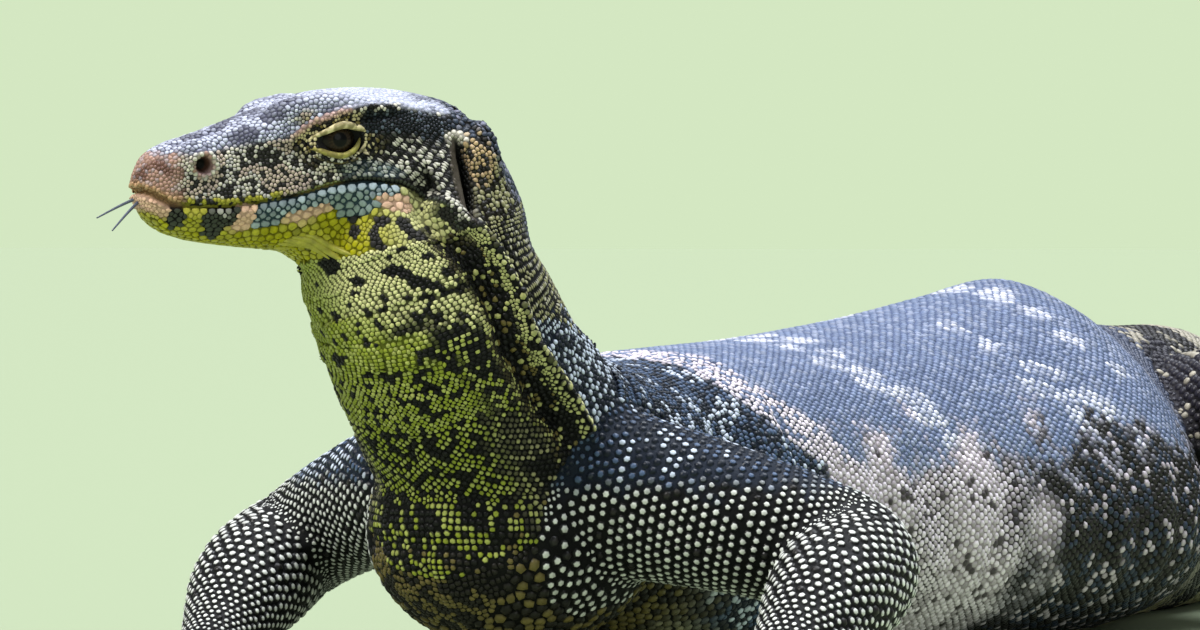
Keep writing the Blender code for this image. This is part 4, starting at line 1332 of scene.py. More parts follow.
    def back(self, at: Places) -> Paint:
        """Blue-grey back with rows of ocelli, beaded flanks and a barred pale belly.

        Args:
            at: The places.

        Returns:
            The colours.
        """
        fine = at.noise(0.0028, 16)
        grit = at.noise(0.0011, 37)
        patch = at.noise(0.014, 17)
        y = at.points[:, 1]
        paint = Paint(len(y), Tone.BACK, Tone.BACK_DARK)
        paint.lay((fine > 0.62) * 0.18, Tone.OCELLUS)
        paint.lay((fine < 0.36) * 0.35, Tone.BACK_DARK)
        paint.lay(self.ocelli(at) * (at.lift > 4), Tone.OCELLUS, Tone.BACK_DARK)
        # The rear of the back darkens to the rump's own colour
        paint.lay(ramp(y + 0.03 * (patch - 0.5), 0.345, 0.435) * 0.7, Tone.RUMP_TOP_AND_SHEEN, Tone.SLATE)
        flank = ramp(at.lift + (patch - 0.5) * 24 + (fine - 0.5) * 16, 27, 16)
        slate = flank * ramp(y + (patch - 0.5) * 0.06, 0.225, 0.275)
        paint.lay(flank, Tone.FLANK_BEAD, Tone.FLANK_GREY)
        paint.seam(flank * ramp(patch, 0.40, 0.60), Tone.FLANK_DARK)
        paint.lay(flank * (grit < 0.38) * 0.7, Tone.FLANK_GREY)
        paint.lay(flank * (speck(at.points, 0.0046, 18) > 0.72), Tone.FLANK_DARK, Tone.FLANK_DARK)
        paint.lay(slate * (fine < 0.72), Tone.SLATE, Tone.BLACK)
        paint.lay(slate * (fine >= 0.72) * 0.6, Tone.FLANK_GREY, Tone.BLACK)
        paint.lay(slate * (fine < 0.52), Tone.SIDE_DARK, Tone.BLACK)
        behind = y - np.interp(at.lift, self.BAND_LIFT, self.BAND_PLACE) + 0.008 * (patch - 0.5)
        shoulder = ramp(behind, -0.004, -0.008)
        band = ramp(np.abs(behind - 0.004), 0.0150, 0.0105) * (at.lift > 18)
        string = np.abs(at.noise(0.017, 38) + 0.3 * (fine - 0.5) - 0.5)
        paint.lay(shoulder, Tone.SHOULDER_SLATE, Tone.SHOULDER_DARK)
        paint.lay(shoulder * (grit < 0.46), Tone.SHOULDER_DARK, Tone.SHOULDER_DARK)
        beads = shoulder * ramp(string, 0.075, 0.055) * (grit > 0.44)
        paint.lay(beads, Tone.SHOULDER_BEAD, Tone.SHOULDER_DARK)
        paint.lay(band * (grit > 0.40), Tone.FLANK_BEAD, Tone.SHOULDER_DARK)
        chest = ramp(at.lift, -20, -38) * ramp(y, 0.09, 0.05)
        paint.lay(chest, Tone.OLIVE, Tone.BLACK)
        paint.lay(chest * (fine < 0.52), Tone.NAPE, Tone.BLACK)
        belly = ramp(at.lift, -42, -54) * ramp(y, 0.05, 0.09)
        bars = np.sin(y * math.tau / self.BELLY_BARS + 3.0 * (patch - 0.5)) > 0.35
        paint.lay(belly, Tone.BELLY, Tone.SIDE_DARK)
        paint.lay(belly * bars, Tone.FLANK_DARK)
        return paint

    def ocelli(self, at: Places) -> Array:
        """Mask of the pale clusters that run across the back in rows, some of them hollow.

        Args:
            at: The places.

        Returns:
            The mask, from 0 to 1.
        """
        y, step = at.points[:, 1], self.OCELLI_STEP
        lean = 0.00115 * np.maximum(54.0 - at.lift, 0.0)
        total = np.zeros(len(y))
        wander = at.noise(0.0045, 39) - 0.5
        broken = at.noise(0.0022, 40)
        arc = np.radians(90.0 - at.lift) * 0.066 * np.sign(at.points[:, 0] + TINY)
        for number, middle in enumerate(self.OCELLI_ROWS):
            for half in (0, 1):
                across = arc / step + 0.5 * half + 0.37 * number
                cell = np.floor(across)
                shift = np.sin(cell * 12.9898 + number * 4.1 + half * 7.7)
                along = (y - lean - middle - half * self.OCELLI_HALF - 0.0045 * shift) / 1.7
                away = np.hypot((across - cell - 0.5) * step, along) + 0.0044 * wander
                size = 0.0052 + 0.0012 * np.sin(cell * 5.3 + number)
                ring = ramp(away, size + 0.0012, size - 0.0012)
                ring = ring * (1 - 0.7 * ramp(away, 0.0026, 0.0012) * (np.sin(cell * 3.7) > 0))
                total = np.maximum(total, ring * (shift > -0.55 + 0.5 * half))
        return total * (0.45 + 0.55 * (broken > 0.42))

    def tail(self, at: Places) -> Paint:
        """Dark tail with pale bands.

        Args:
            at: The places.

        Returns:
            The colours.
        """
        fine = at.noise(0.0040, 20)
        paint = Paint(len(fine), Tone.TAIL_DARK, Tone.BLACK)
        band = np.sin(at.along * math.tau / self.TAIL_BANDS + (fine - 0.5) * 1.6)
        paint.lay((band > 0.42) * ramp(at.lift, -60, -30), Tone.TAIL_BAND, Tone.TAIL_DARK)
        paint.lay((fine > 0.70) * (band <= 0.42) * 0.7, Tone.TAIL_BAND)
        paint.lay(ramp(at.lift, -45, -65) * (band > -0.2) * 0.7, Tone.BELLY)
        return paint

    def arms(self, at: Places) -> Paint:
        """Black forelegs with a pale dot on nearly every scale.

        Args:
            at: The places.

        Returns:
            The colours.
        """
        fine = at.noise(0.0032, 23)
        paint = Paint(len(fine), Tone.BEAD_CREAM, Tone.ARM_DARK)
        paint.lay((fine < 0.16), Tone.SIDE_DARK)
        z = at.points[:, 2]
        shoulder = ramp(z + 0.008 * (fine - 0.5), 0.060, 0.067)
        string = np.abs(at.noise(0.012, 38) + 0.3 * (fine - 0.5) - 0.5)
        paint.lay(shoulder, Tone.SHOULDER_SLATE, Tone.SHOULDER_DARK)
        paint.lay(shoulder * (fine < 0.50), Tone.SHOULDER_DARK, Tone.SHOULDER_DARK)
        paint.lay(shoulder * (string < 0.055), Tone.SHOULDER_BEAD, Tone.SHOULDER_DARK)
        hand = ramp(z, 0.020, 0.014)
        paint.lay(hand * (fine < 0.50), Tone.SIDE_DARK, Tone.BLACK)
        return paint

    def hind_legs(self, at: Places) -> Paint:
        """Dark hind legs and rump, speckled with small clusters of pale beads, with painted bluish sky sheen
        on their upward faces.

        Args:
            at: The places.

        Returns:
            The colours.
        """
        fine = at.noise(0.0036, 24)
        patch = at.noise(0.011, 25)
        paint = Paint(len(fine), Tone.RUMP, Tone.BLACK)
        # Upward faces get a bluish tone: painted sky sheen
        top = ramp(at.normals[:, 2], 0.1, 0.7)
        paint.lay(top * 0.8, Tone.RUMP_TOP_AND_SHEEN, Tone.RUMP)
        paint.lay((patch > 0.60) & (fine > 0.45), Tone.TAIL_BAND, Tone.RUMP)
        paint.lay(fine > 0.70, Tone.TAIL_BAND, Tone.RUMP)
        return paint


# Skin


class Surface:
    """The skin's shape, for placing things on it."""

    def __init__(self, points: Array, faces: list[tuple[int, ...]]) -> None:
        """Builds the search tree."""
        self.points = points
        self.tree = BVHTree.FromPolygons(points.tolist(), faces)

    def nearest(self, points: Array) -> tuple[Array, Array, Array]:
        """Nearest places on the skin, its normals there and how far off they are.

        Args:
            points: The points, one a row.

        Returns:
            Places, normals and distances.
        """
        places, normals, away = [], [], []
        for point in points.tolist():
            place, normal, _, gap = self.tree.find_nearest(Vector(point))
            places.append(place)
            normals.append(normal)
            away.append(gap)
        return np.array(places), np.array(normals), np.array(away)

    def from_side(self, back: float, hand: int, height: float) -> Array | None:
        """Where the side of the head is at this place behind the snout tip and height.

        Args:
            back: How far behind the snout tip.
            hand: 1 for the left, -1 for the right.
            height: Height over the floor.

        Returns:
            The place, or none where the head isn't met.
        """
        start = head_place(back, hand * 0.08, height)
        place, _, _, _ = self.tree.ray_cast(Vector(start), Vector(HEAD_LEFT * -hand))
        return None if place is None else np.array(place)

    def beside(self, hand: int, rows: Iterable[Row]) -> tuple[Array, Array]:
        """Places on one side of the head.

        Args:
            hand: 1 for the left, -1 for the right.
            rows: How far behind the snout tip, how high, and a size that goes with it, in millimetres.

        Returns:
            The places that the head has, and their sizes in metres.
        """
        found = [(self.from_side(back * MM, hand, height * MM), size * MM) for back, height, size in rows]
        found = [item for item in found if item[0] is not None]
        return np.array([item[0] for item in found]), np.array([item[1] for item in found])


@dataclass
class Skin:
    """The one skin over the whole animal.

    Attributes:
        voxel: Size of the cells in which the forms are joined.
        passes: Passes of smoothing after the joining.
        keep: Share of the body's faces that stay.
        lip_radius: Radius of the fleshy rims beside the mouth.
        lips: How far they run above the mouth's line.
        lid: How far the flesh of the lids stands off the eyeball.
        fine_neck: Height over which the neck's mesh is finer, and how far back that goes.
        fine_head: The same for the head's mesh, which is finer again.
        on_floor: Height under which the skin lies on the floor and stays flat.
        nodes: The solids that the skin takes the place of.
    """

    voxel: float = 0.0021
    passes: int = 6
    keep: float = 0.68
    lip_radius: float = 0.0019
    lips: tuple[float, float] = (0.0026, -0.0032)
    lid: float = 0.0027
    fine_neck: tuple[float, float] = (0.070, 0.03)
    fine_head: tuple[float, float] = (0.126, 0.0)
    on_floor: float = 0.0003
    nodes: tuple[str, ...] = (
        "head", "lower_jaw", "neck_upper", "neck_lower", "chest", "torso", "belly", "pelvis",
        "tail_1", "tail_2", "tail_3", "tail_4", "tail_5",
        "upper_arm_left", "forearm_left", "hand_left", "upper_arm_right", "forearm_right", "hand_right",
        "thigh_left", "shank_left", "foot_left", "thigh_right", "shank_right", "foot_right",
    )

    def forms(self) -> list[Form]:
        """Everything of flesh as overlapping closed forms, as in the part's source.

        Returns:
            The closed meshes.
        """
        made = [TRUNK.form(40), self.head_core()]
        for hand in (LEFT, RIGHT):
            made += [self.lip(hand, offset) for offset in self.lips]
            lid = EYE_RADIUS + self.lid
            made.append(ball(head_place(EYE[0], hand * EYE[1], EYE[2]), (lid, lid, lid)))
            line = [head_place(back, hand * out, height) for back, out, height, _ in BROW]
            made.append(round_tube(line, [row[3] for row in BROW], 14, 3))
            made += [head_ball(row[0], hand * row[1], *row[2:]) for row in HEAD_SWELLINGS]
        made.append(head_ball(*JAW_BASE))
        made.append(ball(*CHEST))
        for leg in LEGS:
            made += leg.forms()
        return made

    def head_core(self) -> Form:
        """Skull and jaw as one loft of squared sections.

        Returns:
            The mesh.
        """
        rows = smooth_rows(HEAD_RINGS, 4)
        angles = turns(36)
        c, s = squared(angles, 0.78)
        narrow = 1.0 - 0.16 * np.maximum(s, 0.0) - 0.10 * np.maximum(-s, 0.0)
        rings = []
        for back, side, top, bottom in rows:
            middle = (top + bottom) / 2
            rings.append([head_place(back, c[i] * side * narrow[i], middle + s[i] * (top - bottom) / 2)
                          for i in range(36)])
        caps = (head_place(-0.0012, 0.0, rows[0, 2:].mean()), head_place(0.110, 0.0, rows[-1, 2:].mean()))
        return loft(np.array(rings), np.array(caps))

    def lip(self, hand: int, offset: float) -> Form:
        """Fleshy rim beside the mouth's line, above it or below it.

        Args:
            hand: 1 for the left, -1 for the right.
            offset: How far above the line it runs.

        Returns:
            The mesh.
        """
        rings = np.array(HEAD_RINGS)
        points = []
        for back, height, _ in smooth_rows(MOUTH_LINE, 3):
            if 0.010 <= back <= 0.078:
                out = np.interp(back, rings[:, 0], rings[:, 1]) * 0.97 - self.lip_radius * 0.35
                points.append(head_place(back, hand * out, height + offset))
        radii = [self.lip_radius] * (len(points) - 1) + [self.lip_radius * 0.6]
        return round_tube(points, radii, 10, 2)

    def joined(self) -> bmesh.types.BMesh:
        """The forms joined to one smooth closed surface, with a finer mesh on head and neck.

        Returns:
            The mesh.
        """
        joined = merged(self.forms())
        made = new_object("skin_forms", Form(joined.points + REST, joined.faces), False)
        mesh = bmesh.new()
        mesh.from_mesh(made.data)
        bmesh.ops.recalc_face_normals(mesh, faces=mesh.faces)
        mesh.to_mesh(made.data)
        mesh.free()
        remesh = made.modifiers.new("join", "REMESH")
        remesh.mode = "VOXEL"
        remesh.voxel_size = self.voxel
        smooth = made.modifiers.new("smooth", "SMOOTH")
        smooth.factor = 0.5
        smooth.iterations = self.passes
        graph = bpy.context.evaluated_depsgraph_get()
        mesh = bmesh.new()
        mesh.from_mesh(made.evaluated_get(graph).to_mesh())
        bpy.data.objects.remove(made)
        cut = bmesh.ops.bisect_plane(mesh, geom=mesh.verts[:] + mesh.edges[:] + mesh.faces[:],
                                     plane_co=(0, 0, 0), plane_no=(0, 0, -1), clear_outer=True)
        rim = [item for item in cut["geom_cut"] if isinstance(item, bmesh.types.BMEdge)]
        bmesh.ops.holes_fill(mesh, edges=rim)
        for low, rear in (self.fine_neck, self.fine_head):
            self.refine(mesh, lambda co, low=low, rear=rear: co.z > low and co.y < rear)
        return mesh

    def refine(self, mesh: bmesh.types.BMesh, inside: Callable[[Vector], bool]) -> None:
        """Halves the mesh's cells where inside says so, and smooths them.

        Args:
            mesh: The mesh, which it changes.
            inside: Tells which places get finer cells.
        """
        chosen = {vert for vert in mesh.verts if inside(vert.co)}
        edges = [edge for edge in mesh.edges if edge.verts[0] in chosen and edge.verts[1] in chosen]
        bmesh.ops.subdivide_edges(mesh, edges=edges, cuts=1, use_grid_fill=True)
        chosen = [vert for vert in mesh.verts if inside(vert.co)]
        for _ in range(2):
            bmesh.ops.smooth_vert(mesh, verts=chosen, factor=0.4, use_axis_x=True, use_axis_y=True,
                                  use_axis_z=True)

    def relief(self, at: Places) -> Array:
        """How far folds, lids and openings move the skin out, in millimetres."""
        move = self.head_relief(at) + self.neck_relief(at)
        return move + self.body_relief(at)

    def head_relief(self, at: Places) -> Array:
        """Mouth, snout ridges, brow and the openings.

        Args:
            at: The places.

        Returns:
            The moves, in millimetres.
        """
        back, out, height = at.back, at.out, at.height
        on_head = ramp(back, 112, 104) * (height > 120)
        flat = np.stack([back, height], axis=1)
        away, _ = line_distance(flat, MOUTH_LINE[:, :2] / MM)
        reach = mouth_gap(back) + 0.30
        groove = ramp(away, reach + 0.55, reach - 0.15) * ramp(back, 84, 78)
        move = -(1.3 + 1.4 * ramp(back, 14, 6)) * groove
        above = height - mouth_height(back)
        lip = np.exp(-((above - 1.6) / 1.0) ** 2) + np.exp(-((above + 2.2) / 1.5) ** 2)
        move = move + 0.35 * lip * ramp(back, 82, 76)
        top = ramp(at.normals[:, 2], 0.45, 0.75) * ramp(height, 160, 163)
        furrow = np.exp(-((out - 4.8) / 1.3) ** 2) * ramp(back, 8, 12) * ramp(back, 30, 24)
        canthus = np.exp(-((out - 8.8) / 2.0) ** 2) * ramp(back, 10, 16) * ramp(back, 50, 40)
        move = move + top * (0.55 * canthus - 0.95 * furrow)
        edge = np.interp(back, BROW_EDGE[:, 0], BROW_EDGE[:, 1])
        shelf = ramp(back, 40, 45) * ramp(back, 80, 68) * (out > 9)
        ridge = np.exp(-((height - edge - 0.5) / 1.2) ** 2)
        hollow = np.exp(-((height - edge + 2.2) / 1.2) ** 2)
        move = move + shelf * (0.9 * ridge - 0.9 * hollow)
        return (move + self.openings(at)) * on_head

    def openings(self, at: Places) -> Array:
        """Eye sockets, nostrils and ears, with the creases round them.

        Args:
            at: The places.

        Returns:
            The moves, in millimetres.
        """
        back, out, height = at.back, at.out, at.height
        ring = oval(back, height, EYE_MIDDLE, (7.0, 4.9))
        move = -3.6 * ramp(ring, 1.12, 0.80) * (out > 9)
        wave = np.sin((ring - 1.0) * math.tau / 0.25)
        crease = wave * ramp(ring, 1.05, 1.2) * ramp(ring, 2.3, 1.7)
        move = move + 0.34 * crease * ramp(height, 168, 165) * (out > 9)
        ahead = np.abs(back - 46.0 - 0.55 * (height - 162.0))
        move = move - 0.5 * ramp(ahead, 0.7, 0.2) * ramp(np.abs(height - 163.0), 4.0, 2.0) * (out > 9)
        side = out > 5
        away = oval(back, height, NOSTRIL_MIDDLE, (3.1, 2.8))
        move = move - 2.8 * ramp(away, 1.05, 0.45) * side
        move = move + 0.75 * ramp(np.abs(away - 1.35), 0.5, 0.1) * side * ramp(height, 155, 159)
        away = oval(back, height, EAR_MIDDLE, (3.3, 12.4))
        deep = np.interp(back - EAR_MIDDLE[0], (-3.0, 0.0, 1.2, 2.6), (1.0, 1.9, 5.4, 5.4))
        move = move - deep * ramp(away, 1.1, 0.6) * (out > 12)
        hood = oval(back, height, (94.5, 163.5), (5.0, 6.5))
        move = move + 1.3 * ramp(hood, 1.0, 0.5) * (away > 1.05) * (out > 12)
        fold = np.sin((back + 0.35 * height) * math.tau / 3.4 + 5.0 * at.noise(0.006, 27))
        return move + 0.35 * fold * ramp(back, 94, 97) * (out > 12)

    def neck_relief(self, at: Places) -> Array:
        """The long fold with the hollow in front of it, and wrinkles across the throat.

        Args:
            at: The places.

        Returns:
            The moves, in millimetres.
        """
        away, behind = fold_place(at.points)
        z = at.points[:, 2]
        fade = ramp(z, 0.070, 0.084)
        move = 3.2 * np.exp(-(away / 0.0024) ** 2) * fade
        hollow = np.exp(-((away - 0.0075) / 0.0038) ** 2) * (behind < 0.0)
        move = move - 5.0 * hollow * fade
        trunk = at.part == Part.TRUNK.value
        near = trunk * ramp(at.along, 0.135, 0.09)
        wander = at.noise(0.02, 21)
        wave = np.sin(at.along * math.tau / 0.0085 + 6.6 * wander)
        move = move + 0.36 * wave * near * ramp(at.lift, 40, 10)
        cord = np.sin(np.radians(at.lift) * 9.0 * np.sign(at.points[:, 0] - NECK_MIDDLE) + 6.0 * wander)
        return move + 0.45 * cord * near * ramp(at.lift, -30, -50)

    def body_relief(self, at: Places) -> Array:
        """Chest fold, shoulder wrinkles, and slack skin low on the flanks.

        Args:
            at: The places.

        Returns:
            The moves, in millimetres.
        """
        trunk = at.part == Part.TRUNK.value
        y = at.points[:, 1]
        wander = at.noise(0.03, 31)
        shoulder = trunk * ramp(y, 0.00, 0.03) * ramp(y, 0.13, 0.08) * ramp(at.lift, -10, 10)
        move = 1.3 * np.sin(at.along * math.tau / 0.012 + 5.0 * wander) * shoulder * ramp(at.lift, 80, 60)
        fold = np.exp(-((at.points[:, 2] - 0.046) / 0.0035) ** 2) * trunk * ramp(y, 0.02, -0.005)
        move = move - 1.6 * fold
        flank = trunk * ramp(y, 0.10, 0.16) * ramp(y, 0.40, 0.34) * ramp(np.abs(at.lift), 30, 8)
        move = move + 0.9 * np.sin(y * math.tau / 0.030 + 5.0 * wander) * flank
        return move

    def thinned(self, data: bpy.types.Mesh, weights: Array) -> bpy.types.Mesh:
        """The mesh with fewer faces where the weights are high.

        Args:
            data: The mesh.
            weights: A weight from 0 to 1 for each point.

        Returns:
            The new mesh.
        """
        made = linked("thinning", data)
        group = made.vertex_groups.new(name="body")
        for index in np.nonzero(weights > 0.0)[0].tolist():
            group.add([index], float(weights[index]), "REPLACE")
        thin = made.modifiers.new("thin", "DECIMATE")
        thin.vertex_group = "body"
        thin.ratio = self.keep
        graph = bpy.context.evaluated_depsgraph_get()
        found = bpy.data.meshes.new_from_object(made.evaluated_get(graph))
        bpy.data.objects.remove(made)
        found.name = "skin"
        return found

    def build(self, body: BodyMap, markings: Markings) -> Surface:
        """Makes the skin.

        Args:
            body: Tells where each point is.
            markings: The animal's colours.

        Returns:
            Its shape.
        """
        mesh = self.joined()
        data = bpy.data.meshes.new("skin")
        mesh.to_mesh(data)
        mesh.free()
        points = read_rows(data.vertices, "co")
        normals = read_rows(data.vertex_normals, "vector")
        at = body.places(points, normals)
        resting = points[:, 2] < self.on_floor
        move = np.where(resting, 0.0, self.relief(at) * MM - COAT)
        points = points + normals * move[:, None]
        points[:, 2] = np.maximum(points[:, 2], 0.0)
        at.points = points
        set_colours(data, markings.colours(at).rim)
        faces = [tuple(face.vertices) for face in data.polygons]
        surface = Surface(points, faces)
        data.vertices.foreach_set("co", (points - REST).ravel())
        data.update()
        data = self.thinned(data, ramp(points[:, 1], 0.07, 0.12))
        data.shade_smooth()
        data.materials.append(SKIN.material())
        made = linked("skin", data)
        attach(made, "root")
        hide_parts(*self.nodes)
        log.info("skin: %d faces", len(faces))
        return surface


# Scales


class Kind(Enum):
    """Shapes of scale: steps of (reach, height, share of centre colour), and how many sides; the rim colour
    is the dark skin between scales, and the fade to it up a scale's side is partly painted shade.
    """

    PLATE = (((1.0, -0.30, 0.0), (0.92, 0.62, 0.55), (0.68, 0.95, 1.0)), 8)
    PEBBLE = (((1.0, -0.40, 0.0), (0.80, 0.72, 0.85)), 8)
    TILE = (((1.0, -0.45, 0.0), (0.84, 0.66, 0.92)), 6)
    BEAD = (((1.0, -0.40, 0.0), (0.86, 0.42, 0.20), (0.62, 0.88, 1.0)), 6)
    DOT = (((1.0, -0.45, 0.0), (0.64, 0.56, 0.0), (0.48, 0.86, 1.0)), 6)
    PLAIN = (((1.0, -0.45, 0.0), (0.72, 0.80, 1.0)), 6)

    @property
    def steps(self) -> tuple[Row, ...]:
        """The rings from the root up."""
        return self.value[0]

    @property
    def sides(self) -> int:
        """Corners of the outline."""
        return self.value[1]


def round_about(first: Array, second: Array, angles: Array) -> Array:
    """Directions at these angles in the planes of pairs of directions."""
    return first[:, None] * np.cos(angles)[None, :, None] + second[:, None] * np.sin(angles)[None, :, None]


def tree_of(points: Array) -> KDTree:
    """Search tree of the points.

    Args:
        points: The points, one a row.

    Returns:
        The tree.
    """
    tree = KDTree(len(points))
    for index, point in enumerate(points.tolist()):
        tree.insert(point, index)
    tree.balance()
    return tree


class Coat:
    """All scales of the animal while they are being placed.

    Attributes:
        surface: The skin's shape.
        points: Their roots.
        normals: The skin's outward directions there.
        ahead: The ways that their long sides run.
        size: Distance from each to its neighbours.
        edges: Points on the edges of the openings.
        margins: How far scales keep off each of those.
    """

    def __init__(self, surface: Surface) -> None:
        """Begins with none.

        Args:
            surface: The skin's shape.
        """
        self.surface = surface
        self.points = np.empty((0, 3))
        self.normals = np.empty((0, 3))
        self.ahead = np.empty((0, 3))
        self.size = np.empty(0)
        self.edges = np.empty((0, 3))
        self.margins = np.empty(0)

    def add_edge(self, points: Array, margins: Array) -> None:
        """Marks the edge of an opening, which scales keep this far off."""
        self.edges = np.vstack([self.edges, points])
        self.margins = np.concatenate([self.margins, margins])

    def add(self, points: Array, ahead: Array, size: Array, keep: float) -> None:
        """Places more scales where none is near yet.

        Args:
            points: Where they should be, near the skin.
            ahead: The way that each one's long side runs.
            size: Distance from each to its neighbours.
            keep: Least distance to a scale placed before, as a share of size.
        """
        places, normals, _ = self.surface.nearest(points)
        if len(self.points):
            tree = tree_of(self.points)
            free = np.array([tree.find(place)[2] for place in places.tolist()]) > size * keep
        else:
            free = np.ones(len(places), bool)
        self.points = np.vstack([self.points, places[free]])
        self.normals = np.vstack([self.normals, normals[free]])
        self.ahead = np.vstack([self.ahead, ahead[free]])
        self.size = np.concatenate([self.size, size[free]])


def rows_round(tube: Tube, start: float, end: float, around: int, stretch: float,
               phase: float = 0.0) -> tuple[Array, Array, Array]:
    """Staggered and slightly disordered rows of places round a tube.

    Args:
        tube: The length of body that they go round.
        start: Where along it the rows begin.
        end: Where they end.
        around: Scales in each row.
        stretch: Distance between rows as a share of that between scales in a row.
        phase: Turns the rows, in scales.

    Returns:
        The places, the way along the tube at each, and the distance between neighbours.
    """
    fine = np.arange(361) * math.tau / 360
    places, ways, sizes = [], [], []
    place, number = start, 0
    rng = np.random.default_rng(around)
    while place < end:
        ring = tube.section(place, fine)
        lengths = np.concatenate([[0.0], np.cumsum(np.linalg.norm(np.diff(ring, axis=0), axis=1))])
        spacing = lengths[-1] / around
        at = (np.arange(around) + phase + 0.5 * (number % 2)) % around * spacing
        at = (at + rng.normal(0.0, ROW_DISORDER, around) * spacing) % lengths[-1]
        row = np.stack([np.interp(at, lengths, ring[:, k]) for k in range(3)], axis=1)
        way = np.array([np.interp(place, tube.along, tube.ahead[:, k]) for k in range(3)])
        row += unit(way) * rng.normal(0.0, ROW_DISORDER, around)[:, None] * spacing * stretch
        places.append(row)
        ways.append(np.tile(unit(way), (around, 1)))
        sizes.append(np.full(around, spacing * (min(1.0, SLANT_SIZE * math.sqrt(stretch)))))
        place += spacing * stretch
        number += 1
    return np.vstack(places), np.vstack(ways), np.concatenate(sizes)


class HeadScales:
    """Places of the scales on the head: lip plates in rows, streaks on the cheek, the rest scattered."""

    SEED = 5
    # Rows beside the mouth: offset from its line, first and last place, spacing at each, in millimetres
    LIP_ROWS = (
        (0.85, 3.0, 82.0, 1.1, 1.2), (-1.60, 4.0, 83.0, 2.3, 2.9), (-4.0, 6.0, 80.0, 2.4, 3.2),
        (-6.5, 12.0, 76.0, 2.4, 3.1), (-8.9, 20.0, 74.0, 2.4, 2.7), (-11.2, 36.0, 70.0, 2.4, 2.5),
    )
    # Distance between the scales on top, from the snout tip back
    TOP_BACK = (0, 12, 30, 50, 70, 88, 94)
    TOP_SIZE = (1.4, 1.5, 1.7, 1.75, 1.5, 1.6, 2.1)
    # Streaked cheek: its middle, reach, the streaks' slope in degrees, and spacing along and across
    CHEEK = ((77.5, 158.5), (15.5, 12.0), -42.0, 2.40, 0.78)

    def size_at(self, at: Places) -> Array:
        """Distance between neighbours at each place, in metres.

        Args:
            at: The places.

        Returns:
            The distances.
        """
        back, height = at.back, at.height
        top = at.normals[:, 2] > 0.35
        size = np.full(len(back), 1.15)
        size = np.where((back > 62) & (height > 167), 1.05, size)
        size = np.where(top, np.interp(back, self.TOP_BACK, self.TOP_SIZE), size)
        above = height - mouth_height(back)
        size = np.where((above < -5) & (at.normals[:, 2] < 0.2), 2.1, size)
        size = np.where((above < 5) & (above > 0) & (back < 14), 1.25, size)
        ring = oval(back, height, EYE_MIDDLE, (7.2, 5.0))
        size = np.where((ring < 1.7) & (at.out > 9) & ~top, 0.95, size)
        size = np.where((back > 94) & ~top, 1.25, size)
        size = np.where((back > 86) & (nape_crest(back, height) > 0.5) & (height > 148), 1.9, size)
        return size * MM

    def barred(self, at: Places) -> Array:
        """Where no scale may be: eyes, nostrils, ears and the open mouth.

        Args:
            at: The places.

        Returns:
            True where none may be.
        """
        back, height = at.back, at.height
        eye = oval(back, height, EYE_MIDDLE, (7.2, 4.9)) < 1.0
        nostril = oval(back, height, NOSTRIL_MIDDLE, (3.0, 2.7)) < 1.0
        ear = oval(back, height, EAR_MIDDLE, (2.2, 12.0)) < 1.0
        away, _ = line_distance(np.stack([back, height], axis=1), MOUTH_LINE[:, :2] / MM)
        mouth = (away < mouth_gap(back) + 0.70) & (back < 80)
        return (eye & (at.out > 9)) | (nostril & (at.out > 5)) | (ear & (at.out > 12)) | mouth

    def edges(self, coat: Coat) -> None:
        """Marks the edges of the mouth, eyes, nostrils and ears.

        Args:
            coat: The scales placed so far.
        """
        ovals = ((EYE_MIDDLE, (6.6, 4.5)), (NOSTRIL_MIDDLE, (2.6, 2.3)), (EAR_MIDDLE, (2.0, 11.6)))
        rows = [(back, mouth_height(back), mouth_gap(back) + 0.24) for back in np.arange(-1.0, 80.0, 0.6)]
        for middle, reach in ovals:
            for turn in np.linspace(0, math.tau, 60, endpoint=False):
                across, up = reach[0] * math.cos(turn), reach[1] * math.sin(turn)
                rows.append((middle[0] + across, middle[1] + up, 0.20))
        for hand in (LEFT, RIGHT):
            coat.add_edge(*coat.surface.beside(hand, rows))

    def lip_plates(self, coat: Coat) -> None:
        """Adds the plates along the lips.

        Args:
            coat: The scales placed so far.
        """
        for hand in (LEFT, RIGHT):
            for number, (offset, first, last, fore, aft) in enumerate(self.LIP_ROWS):
                rows = []
                back = first + fore * 0.5 * (number % 2)
                while back < last:
                    step = np.interp(back, (first, 50.0), (fore, aft))
                    rows.append((back, mouth_height(back) + offset, step))
                    back += step
                places, sizes = coat.surface.beside(hand, rows)
                coat.add(places, np.tile(-HEAD_AHEAD, (len(places), 1)), sizes, keep=0.55)

    def cheek(self, coat: Coat, body: BodyMap) -> None:
        """Adds the long narrow scales of the cheeks.

        Args:
            coat: The scales placed so far.
            body: Tells which part each point is on.
        """
        middle, reach, slope, along, across = self.CHEEK
        rng = np.random.default_rng(self.SEED + 1)
        c, s = math.cos(math.radians(slope)), math.sin(math.radians(slope))
        count = int(max(reach) * 1.5 / across)
        found = []
        for hand in (LEFT, RIGHT):
            rows = []
            for row in range(-count, count + 1):
                for step in range(-count, count + 1):
                    u = step * along + rng.normal(0, 0.16)
                    v = (row + 0.5 * (step % 2)) * across + rng.normal(0, 0.07)
                    back, height = middle[0] + u * c - v * s, middle[1] + u * s + v * c
                    if oval(back, height, middle, reach) < 1.0:
                        rows.append((back, height, along))
            found.append(coat.surface.beside(hand, rows)[0])
        places, normals, _ = coat.surface.nearest(np.vstack(found))
        at = body.places(places, normals)
        free = ~self.barred(at) & (at.height - mouth_height(at.back) > 1.9) & (at.height < 168.0)
        way = -HEAD_AHEAD * c + UP * s
        count = int(free.sum())
        coat.add(places[free], np.tile(way, (count, 1)), np.full(count, along * MM), keep=0.36)

